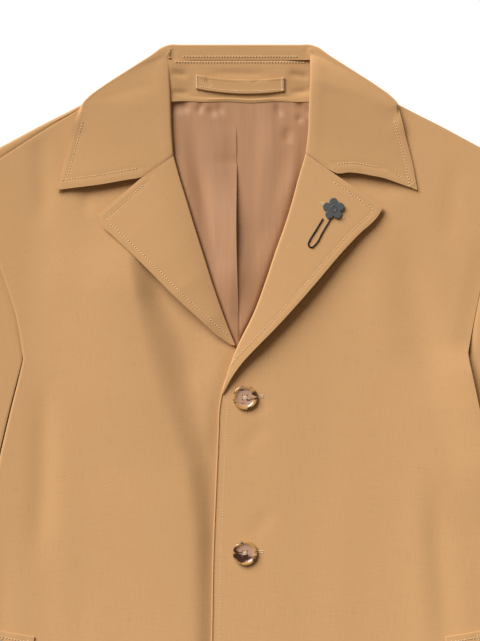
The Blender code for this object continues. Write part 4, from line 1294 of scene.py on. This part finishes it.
# ---- stitches -----------------------------------------------------------------------
CLOSE_STITCH = 0.0008       # width and spacing of stitches that lie side by side


def add_stitch(shape, start, end, normal, width):
    """One stitch: a low grain of thread that dips into the cloth at both ends."""
    run = end - start
    forward = run.normalized()
    side = forward.cross(normal).normalized()
    up = side.cross(forward).normalized()
    rings = []
    for share, girth in ((0.0, 0.35), (0.25, 0.95), (0.75, 0.95), (1.0, 0.35)):
        height = 0.5 * width * math.sin(math.pi * (0.12 + 0.76 * share))
        centre = start + run * share + up * (height - 0.12 * width)
        ring = []
        for k in range(6):
            turn = math.tau * k / 6
            way = side * math.cos(turn) + up * math.sin(turn) * 0.8
            ring.append(shape.verts.new(centre + way * width * girth / 2))
        rings.append(ring)
    skin(shape, rings)


def sew(shape, tree, route, pitch=None, fill=0.55, width=None, rise=0.0001):
    """A row of stitches along a route in plan, laid on a surface."""
    pitch = pitch or sizes().stitch_pitch
    width = width or sizes().stitch_width
    whole = lengths_of(route)[-1]
    count = max(1, round(whole / pitch))
    shares = []
    for k in range(count):
        shares += [(k + 0.5 - fill / 2) / count, (k + 0.5 + fill / 2) / count]
    marks = along(route, shares)
    for start, end in zip(marks[::2], marks[1::2]):
        (low, normal), (high, _) = drop(tree, start), drop(tree, end)
        if low is None or high is None or abs(low.z - high.z) > 0.003:
            continue
        up = Vector((0, 0, rise))
        add_stitch(shape, low + up, high + up, normal, width)


def stitch_piece(name, shape):
    """Stitches joined as one piece."""
    bmesh.ops.recalc_face_normals(shape, faces=shape.faces)
    add_piece(name, mesh_of(name, shape), finish(sewing_thread))


def inset_line(line, distance, trim_start=0.0, trim_end=0.0):
    """A polyline moved sideways in plan, to its left for a positive distance."""
    moved = []
    for k, point in enumerate(line):
        before = line[max(0, k - 1)]
        after = line[min(len(line) - 1, k + 1)]
        run = lift(after - before, 0).normalized()
        moved.append(lift(point, 0) + Vector((-run.y, run.x, 0)) * distance)
    whole = lengths_of(moved)[-1]
    steps = max(8, round(whole / 0.003))
    first, last = trim_start / whole, 1 - trim_end / whole
    return along(moved, [first + (last - first) * share for share in even(steps)])


def sew_fronts():
    """The row along the left front's edge, and three rows on each welt."""
    shape = bmesh.new()
    tree = surface_of([cloth("front_left")])
    edge = [place for place in outline(LEFT.inner, LEFT.sign, even(400))
            if BREAK_DOWN + 0.006 <= down_of(place) <= LENGTH]
    sew(shape, tree, inset_line(edge, sizes().edge_inset), width=0.0005, rise=-0.0001)
    for half in HALVES:
        tree = surface_of([cloth(f"pocket_welt_{half.name}")])
        inner = [(WELT_LENGTH * share, WELT_INSET) for share in (0.02, 0.98)]
        top = [(WELT_INSET, WELT_WIDTH * share) for share in (0.06, 0.94)]
        outer = [(WELT_LENGTH * share, WELT_WIDTH - WELT_INSET) for share in (0.02, 0.98)]
        for route in (inner, top, outer):
            sew(shape, tree, along([spot(*welt_place(half, *place)) for place in route], even(20)))
    stitch_piece("stitches_fronts", shape)


def sew_lapels_and_collar():
    """The rows along the outer and top edges of the lapels, and round the collar's leaves."""
    inset = sizes().edge_inset
    shape = bmesh.new()
    for half in HALVES:
        tree = surface_of([cloth(f"lapel_{half.name}")])
        edge = outline(half.edge, half.sign, even(80))
        sew(shape, tree, inset_line(edge, -half.sign * inset, inset * 0.9, 0.008))
        top = along([notch_corner(half), spots(half.edge, half.sign)[0]], even(20))
        sew(shape, tree, inset_line(top, -half.sign * inset, 0.004, inset * 0.9))
    stitch_piece("stitches_lapels", shape)
    shape = bmesh.new()
    tree = surface_of([cloth("collar")])
    for half in HALVES:
        rim = leaf_rim(half)
        foot = along(rim[:3], even(30))
        side = along(rim[2:], even(30))
        sew(shape, tree, inset_line(foot, half.sign * LEAF_FOOT_INSET, 0.003, inset * 0.9))
        sew(shape, tree, inset_line(side, half.sign * inset, LEAF_FOOT_INSET * 0.9, 0.004))
    stitch_piece("stitches_collar", shape)


# Top stitching above and below the collar's seam: how far down, and half its length.
NECK_ROWS = ((0.0131, 0.0600), (0.0189, 0.0680))
LOOP_ROW = (-0.042, -0.02, 0.0, 0.02, 0.042)    # places along the hanger loop's row of stitches
LOOP_ROW_INSET = 0.0022
TACK_PLACES = (-0.0448, 0.0440)         # bar tacks at the hanger loop's ends
TACK_INSET = 0.0006
TACK_STITCHES = 15


def sew_neck():
    """The two rows beside the collar's seam, the hanger loop's row and its bar tacks."""
    shape = bmesh.new()
    tree = surface_of([cloth("collar"), cloth("collar_stand")])
    for down, half_length in NECK_ROWS:
        route = [spot(x, down) for x in (-half_length, half_length)]
        sew(shape, tree, along(route, even(40)), pitch=0.0030, width=0.0012, rise=0.0003)
    tree = surface_of([cloth("hanger_loop")])
    route = [spot(x, loop_middle(x) + LOOP_WIDTH / 2 - LOOP_ROW_INSET) for x in LOOP_ROW]
    sew(shape, tree, along(soften(route), even(40)), pitch=0.0022)
    for x in TACK_PLACES:
        top = loop_middle(x) - LOOP_WIDTH / 2 + TACK_INSET
        for k in range(TACK_STITCHES):
            down = top + k * (LOOP_WIDTH - 2 * TACK_INSET) / (TACK_STITCHES - 1)
            close_stitch(shape, tree, spot(x - 0.0008, down), spot(x + 0.0008, down + 0.0004))
    stitch_piece("stitches_neck", shape)


def close_stitch(shape, tree, start, end):
    """One of a row of stitches that lie side by side."""
    low, normal = drop(tree, start)
    high, _ = drop(tree, end)
    if low and high:
        add_stitch(shape, low, high, normal, CLOSE_STITCH)


def buttonhole(shape, tree, start, end):
    """A buttonhole's two rows of close stitches."""
    run = (end - start).normalized()
    side = Vector((-run.y, run.x, 0))
    count = round((end - start).length / CLOSE_STITCH)
    for k in range(count):
        centre = start.lerp(end, (k + 0.5) / count)
        for way in (-1, 1):
            close_stitch(shape, tree, centre + side * way * 0.0003, centre + side * way * 0.0016)


def sew_buttonholes():
    """A buttonhole beside each button, and the one in the left lapel."""
    shape = bmesh.new()
    tree = surface_of([cloth("front_left")])
    for number in BUTTON_NUMBERS:
        x, y, _ = middle_of(f"button_{number}")
        buttonhole(shape, tree, Vector((x - 0.004, y + 0.0012, 0)), Vector((x + 0.0190, y + 0.0012, 0)))
    tree = surface_of([cloth("lapel_left")])
    buttonhole(shape, tree, spot(0.0835, 0.1655), spot(0.1078, 0.1825))
    stitch_piece("buttonholes", shape)


# ---- buttons and pin ----------------------------------------------------------------
def only(piece):
    """Nothing else selected, and this piece active."""
    for other in bpy.context.selected_objects:
        other.select_set(False)
    if piece:
        piece.select_set(True)
        bpy.context.view_layer.objects.active = piece


def pick_faces(piece, wanted):
    """In edit mode, only the faces that a test accepts are selected."""
    shape = bmesh.from_edit_mesh(piece.data)
    for face in shape.faces:
        face.select_set(False)
    for face in shape.faces:
        if wanted(face):
            face.select_set(True)
    bmesh.update_edit_mesh(piece.data)


# A button's face from its rim in: each step's width by the radius, and its rise by the height.
BUTTON_STEPS = ((0.13, 0.0), (0.10, -0.06), (0.08, -0.24), (0.14, -0.06), (0.24, -0.02))


def turned_blank(radius, height):
    """A button's body at the origin: a disc with a rolled rim and a dished middle."""
    only(None)
    bpy.ops.mesh.primitive_cylinder_add(vertices=64, radius=radius, depth=height, location=(0, 0, height / 2))
    blank = bpy.context.object
    bpy.ops.object.mode_set(mode="EDIT")
    bpy.ops.mesh.select_mode(type="FACE")
    pick_faces(blank, lambda face: face.normal.z > 0.9)
    for inset, sink in BUTTON_STEPS:
        bpy.ops.mesh.inset(thickness=radius * inset)
        bpy.ops.transform.translate(value=(0, 0, height * sink))
    pick_faces(blank, lambda face: face.normal.z < -0.9)
    bpy.ops.mesh.inset(thickness=radius * 0.25)
    bpy.ops.mesh.select_mode(type="EDGE")
    bpy.ops.mesh.select_all(action="DESELECT")
    shape = bmesh.from_edit_mesh(blank.data)
    for edge in shape.edges:
        rims = [math.hypot(vertex.co.x, vertex.co.y) > radius * 0.99 for vertex in edge.verts]
        flat = abs(edge.verts[0].co.z - edge.verts[1].co.z) < height * 0.1
        edge.select_set(all(rims) and flat)
    bmesh.update_edit_mesh(blank.data)
    bpy.ops.mesh.bevel(offset=height * 0.30, segments=4, affect="EDGES")
    bpy.ops.object.mode_set(mode="OBJECT")
    return blank


HOLE_REACH = 0.0021         # a hole's place, out and up from the button's middle
HOLE_RADIUS = 0.0009
THREAD_REACH = 0.0030       # how far the threads reach from the button's middle
THREAD_ASIDE = 0.00035      # half of the distance between two threads side by side
BUTTON_TILT = Vector((0.012, -0.02, 0))     # how much one button leans more than the next


def drill_threads(blank):
    """Four holes for the thread."""
    only(None)
    drills = []
    for turn in range(4):
        angle = math.radians(45 + 90 * turn)
        reach = HOLE_REACH * math.sqrt(2)
        place = (reach * math.cos(angle), reach * math.sin(angle), 0.0)
        bpy.ops.mesh.primitive_cylinder_add(vertices=20, radius=HOLE_RADIUS, depth=0.02, location=place)
        drills.append(bpy.context.object)
    only(drills[0])
    for drill in drills:
        drill.select_set(True)
    bpy.ops.object.join()
    only(blank)
    cut = blank.modifiers.new("holes", "BOOLEAN")
    cut.operation = "DIFFERENCE"
    cut.solver = "EXACT"
    cut.object = drills[0]
    bpy.ops.object.modifier_apply(modifier=cut.name)
    bpy.data.objects.remove(drills[0])


def buttons():
    """The horn-look buttons: one is modelled, and the others are its copies."""
    radius, height = 0.5 * BUTTON_DIAMETER, BUTTON_HEIGHT
    blank = turned_blank(radius, height)
    drill_threads(blank)
    only(blank)
    bpy.ops.object.transform_apply(location=True, rotation=True, scale=True)
    bpy.ops.object.shade_smooth_by_angle(angle=math.radians(40))
    disc = blank.data.uv_layers.new(name="disc")
    for loop in blank.data.loops:
        disc.data[loop.index].uv = blank.data.vertices[loop.vertex_index].co.xy
    made = []
    for number in BUTTON_NUMBERS:
        x, y, _ = middle_of(f"button_{number}")
        place = Vector((x, y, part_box(f"button_{number}")[0][2] + 0.0001))
        tilt = BUTTON_TILT * (number - 2)
        mesh = blank.data.copy()
        for vertex in mesh.vertices:
            lean = vertex.co.x * tilt.x + vertex.co.y * tilt.y
            vertex.co += place + Vector((0, 0, lean))
        piece = add_piece(f"horn_button_{number}", mesh, finish(horn_resin, radius))
        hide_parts(f"button_{number}")
        made.append(piece)
    bpy.data.objects.remove(blank)
    sew_buttons(made, radius, height)


def sew_buttons(made, radius, height):
    """A cross of thread through the four holes of each button."""
    shape = bmesh.new()
    for piece in made:
        low = Vector([min(vertex.co[k] for vertex in piece.data.vertices) for k in range(3)])
        centre = low + Vector((radius, radius, height * 0.62))
        for turn in (45, 135):
            way = Vector((math.cos(math.radians(turn)), math.sin(math.radians(turn)), 0)) * THREAD_REACH
            for aside in (-THREAD_ASIDE, THREAD_ASIDE):
                off = Vector((-way.y, way.x, 0)).normalized() * aside
                add_stitch(shape, centre - way + off, centre + way + off, Vector((0, 0, 1)), CLOSE_STITCH)
    stitch_piece("button_threads", shape)


PETALS = 5
PETAL_OUT = 0.65            # middle of each petal's round, as a share of the flower's radius
PETAL_ROUND = 0.41          # radius of that round
PIN_SPRING = 0.0010         # how far the flower stands off the lapel
RING_RADIUS = 0.0030        # the raised ring in the flower's middle
RING_GIRTH = 0.0006
WIRE_RADIUS = 0.0007


def flower_pin():
    """A plain five-petal flower with a ringed middle, on the left lapel."""
    low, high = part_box("lapel_flower")
    hit, _ = drop(surface_of([cloth("lapel_left")]), Vector(middle_of("lapel_flower")))
    rise = hit.z - low[2] + PIN_SPRING
    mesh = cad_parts["lapel_flower"].data.copy()
    shape = bmesh.new()
    shape.from_mesh(mesh)
    bmesh.ops.remove_doubles(shape, verts=shape.verts, dist=0.00001)
    bmesh.ops.dissolve_limit(shape, angle_limit=math.radians(2), verts=shape.verts, edges=shape.edges)
    middle = sum((vertex.co.xy for vertex in shape.verts), Vector((0, 0))) / len(shape.verts)
    arms = [vertex.co.xy - middle for vertex in shape.verts]
    tip = max(arms, key=lambda arm: arm.length)
    for vertex, arm in zip(shape.verts, arms):
        off_petal = tip.angle_signed(arm, 0.0)
        off_petal = (off_petal + math.pi / PETALS) % (math.tau / PETALS) - math.pi / PETALS
        side_step = PETAL_OUT * math.sin(off_petal)
        reach = PETAL_OUT * math.cos(off_petal) + math.sqrt(PETAL_ROUND ** 2 - side_step ** 2)
        vertex.co.xy = middle + arm.normalized() * tip.length * reach
    shape.to_mesh(mesh)
    shape.free()
    mesh.materials.clear()
    petals = add_piece("flower_petals", mesh, finish(slate_enamel))
    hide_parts("lapel_flower")
    for vertex in mesh.vertices:
        vertex.co.z += rise
    rim = petals.modifiers.new("rim", "BEVEL")
    rim.width = 0.0006
    rim.segments = 3
    rim.limit_method = "ANGLE"
    rim.angle_limit = math.radians(50)
    flower_ring((middle.x, middle.y, high[2] + rise + 0.0001))


def flower_ring(place):
    """The raised ring in the flower's middle."""
    only(None)
    bpy.ops.mesh.primitive_torus_add(major_radius=RING_RADIUS, minor_radius=RING_GIRTH, major_segments=40,
                                     minor_segments=12, location=place)
    ring = bpy.context.object
    bpy.ops.object.mode_set(mode="EDIT")
    bpy.ops.mesh.select_all(action="SELECT")
    bpy.ops.transform.resize(value=(1, 1, 0.8))
    bpy.ops.object.mode_set(mode="OBJECT")
    bpy.ops.object.transform_apply(location=True, rotation=True, scale=True)
    bpy.ops.object.shade_smooth()
    ring.name = "flower_ring"
    ring.data.materials.append(finish(slate_enamel))
    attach(ring, "root")


# The wire's bow: how far towards the opening and how far below the flower's middle.
WIRE_BOW = ((0.0030, 0.0112), (0.0110, 0.0245), (0.0195, 0.0385), (0.0225, 0.0408), (0.0255, 0.0398),
            (0.0262, 0.0368), (0.0250, 0.0340), (0.0180, 0.0225), (0.0110, 0.0108))


def pin_wire():
    """The pin's wire, a narrow bow below the flower that lies on the lapel."""
    x, y, _ = middle_of("lapel_flower")
    down = HEM_Y + LENGTH - y
    route = outline([(x - aside, down + below) for aside, below in WIRE_BOW], 1, even(60))
    tree = surface_of([cloth("lapel_left")])
    shape = bmesh.new()
    rings = []
    for k, place in enumerate(route):
        hit, _ = drop(tree, place)
        centre = lift(place, hit.z + WIRE_RADIUS + 0.0002)
        run = (route[min(k + 1, len(route) - 1)] - route[max(k - 1, 0)]).normalized()
        side = Vector((-run.y, run.x, 0))
        ring = []
        for step in range(12):
            turn = math.tau * step / 12
            way = side * math.cos(turn) + Vector((0, 0, 1)) * math.sin(turn)
            ring.append(shape.verts.new(centre + way * WIRE_RADIUS))
        rings.append(ring)
    skin(shape, rings)
    bmesh.ops.recalc_face_normals(shape, faces=shape.faces)
    piece = add_piece("bent_wire", mesh_of("bent_wire", shape), finish(dark_wire))
    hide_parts("pin_wire")


# ---- stage --------------------------------------------------------------------------
FLOOR_REACH = 6.0           # half of the table's width
GAP_TO_FLOOR = 0.0002       # the table's face lies this far below the back
KEY_FROM = Vector((-0.53, 0.64, 0.56))
FOCUS_HEIGHT = 0.010        # the view is as high as the setting says at this height
SENSOR = 36.0               # the camera sensor's width, in mm like its lens


def table_top():
    """A pale painted table under the jacket."""
    mesh = bpy.data.meshes.new("floor")
    sides = ((-1, -1), (1, -1), (1, 1), (-1, 1))
    corners = [(FLOOR_REACH * x, FLOOR_REACH * y, -GAP_TO_FLOOR) for x, y in sides]
    mesh.from_pydata(corners, [], [(0, 1, 2, 3)])
    floor = bpy.data.objects.new("floor", mesh)
    bpy.context.collection.objects.link(floor)
    material, tree, shader = new_material("painted_table", {"Roughness": 0.9, "Specular IOR Level": 0.1})
    place = add_node(tree, "ShaderNodeTexCoord").outputs["Object"]
    grain = add_node(tree, "ShaderNodeTexNoise", {"Scale": 40.0}, {"Vector": place})
    ramp = add_node(tree, "ShaderNodeValToRGB", links={"Fac": grain.outputs["Fac"]})
    ramp.color_ramp.elements[0].color = shade(colours().floor, 0.99)
    ramp.color_ramp.elements[1].color = shade(colours().floor, 1.0)
    tree.links.new(ramp.outputs["Color"], shader.inputs["Base Color"])
    mesh.materials.append(material)


def lights():
    """A soft key light from beyond the collar's right, and light from all round."""
    setup = bpy.context.scene.jacket_stage
    key = bpy.data.lights.new("key", "SUN")
    key.energy = setup.key
    key.angle = setup.key_spread
    lamp = bpy.data.objects.new("key", key)
    bpy.context.collection.objects.link(lamp)
    lamp.rotation_euler = KEY_FROM.to_track_quat("Z", "Y").to_euler()
    world = bpy.data.worlds.new("studio")
    bpy.context.scene.world = world
    world.use_nodes = True
    background = world.node_tree.nodes["Background"]
    background.inputs["Color"].default_value = (1.0, 0.84, 0.66, 1.0)
    background.inputs["Strength"].default_value = setup.fill


def camera():
    """A camera straight above the jacket's upper half."""
    setup = bpy.context.scene.jacket_stage
    eye = bpy.data.cameras.new("camera")
    eye.lens = setup.lens
    eye.sensor_width = SENSOR
    holder = bpy.data.objects.new("camera", eye)
    bpy.context.collection.objects.link(holder)
    distance = setup.view_height * setup.lens / SENSOR
    holder.location = (0.0, setup.view_middle, FOCUS_HEIGHT + distance)
    bpy.context.scene.camera = holder
    bpy.context.scene.view_settings.view_transform = "Standard"


# ---- operators and panel ------------------------------------------------------------
class JACKET_OT_back(bpy.types.Operator):
    """Add the back and its lining"""
    bl_idname = "jacket.back"
    bl_label = "Back and lining"

    def execute(self, context):
        back()
        lining()
        return {"FINISHED"}


class JACKET_OT_fronts(bpy.types.Operator):
    """Add both fronts and their pocket welts"""
    bl_idname = "jacket.fronts"
    bl_label = "Fronts and welts"

    def execute(self, context):
        for half in HALVES:
            front(half)
            welt(half)
        return {"FINISHED"}


class JACKET_OT_sleeves(bpy.types.Operator):
    """Add both sleeves"""
    bl_idname = "jacket.sleeves"
    bl_label = "Sleeves"

    def execute(self, context):
        for half in HALVES:
            sleeve(half)
        return {"FINISHED"}


class JACKET_OT_neck(bpy.types.Operator):
    """Add the lapels, the collar, the band inside the neck and its hanger loop"""
    bl_idname = "jacket.neck"
    bl_label = "Lapels and collar"

    def execute(self, context):
        for half in HALVES:
            lapel(half)
        collar()
        stand()
        hanger_loop()
        return {"FINISHED"}


class JACKET_OT_stitches(bpy.types.Operator):
    """Add every row of stitches, the bar tacks and the buttonholes"""
    bl_idname = "jacket.stitches"
    bl_label = "Stitches"

    def execute(self, context):
        sew_fronts()
        sew_lapels_and_collar()
        sew_neck()
        sew_buttonholes()
        return {"FINISHED"}


class JACKET_OT_buttons(bpy.types.Operator):
    """Add the horn-look buttons and their threads"""
    bl_idname = "jacket.buttons"
    bl_label = "Buttons"

    def execute(self, context):
        buttons()
        return {"FINISHED"}


class JACKET_OT_pin(bpy.types.Operator):
    """Add the flower pin and its wire"""
    bl_idname = "jacket.pin"
    bl_label = "Flower pin"

    def execute(self, context):
        flower_pin()
        pin_wire()
        return {"FINISHED"}


class JACKET_OT_stage(bpy.types.Operator):
    """Add the floor, the lights and the camera"""
    bl_idname = "jacket.stage"
    bl_label = "Stage"

    def execute(self, context):
        table_top()
        lights()
        camera()
        return {"FINISHED"}


class JACKET_PT_panel(bpy.types.Panel):
    bl_label = "Shirt jacket"
    bl_idname = "JACKET_PT_panel"
    bl_space_type = "VIEW_3D"
    bl_region_type = "UI"
    bl_category = "Jacket"

    def draw(self, context):
        for group in (context.scene.jacket_sizes, context.scene.jacket_colours, context.scene.jacket_stage):
            box = self.layout.box()
            for name in group.bl_rna.properties.keys():
                if name not in ("rna_type", "name"):
                    box.prop(group, name)
        for operator in OPERATORS:
            self.layout.operator(operator.bl_idname)


OPERATORS = (JACKET_OT_back, JACKET_OT_fronts, JACKET_OT_sleeves, JACKET_OT_neck, JACKET_OT_buttons,
             JACKET_OT_pin, JACKET_OT_stitches, JACKET_OT_stage)
CLASSES = (JacketSizes, JacketColours, StageSettings, *OPERATORS, JACKET_PT_panel)


def register():
    for kind in CLASSES:
        bpy.utils.register_class(kind)
    bpy.types.Scene.jacket_sizes = PointerProperty(type=JacketSizes)
    bpy.types.Scene.jacket_colours = PointerProperty(type=JacketColours)
    bpy.types.Scene.jacket_stage = PointerProperty(type=StageSettings)


def unregister():
    for name in ("jacket_sizes", "jacket_colours", "jacket_stage"):
        delattr(bpy.types.Scene, name)
    for kind in reversed(CLASSES):
        bpy.utils.unregister_class(kind)


def main():
    register()
    bpy.ops.jacket.back()
    bpy.ops.jacket.fronts()
    bpy.ops.jacket.sleeves()
    bpy.ops.jacket.neck()
    bpy.ops.jacket.buttons()
    bpy.ops.jacket.pin()
    bpy.ops.jacket.stitches()
    bpy.ops.jacket.stage()


if __name__ == "__main__":
    main()
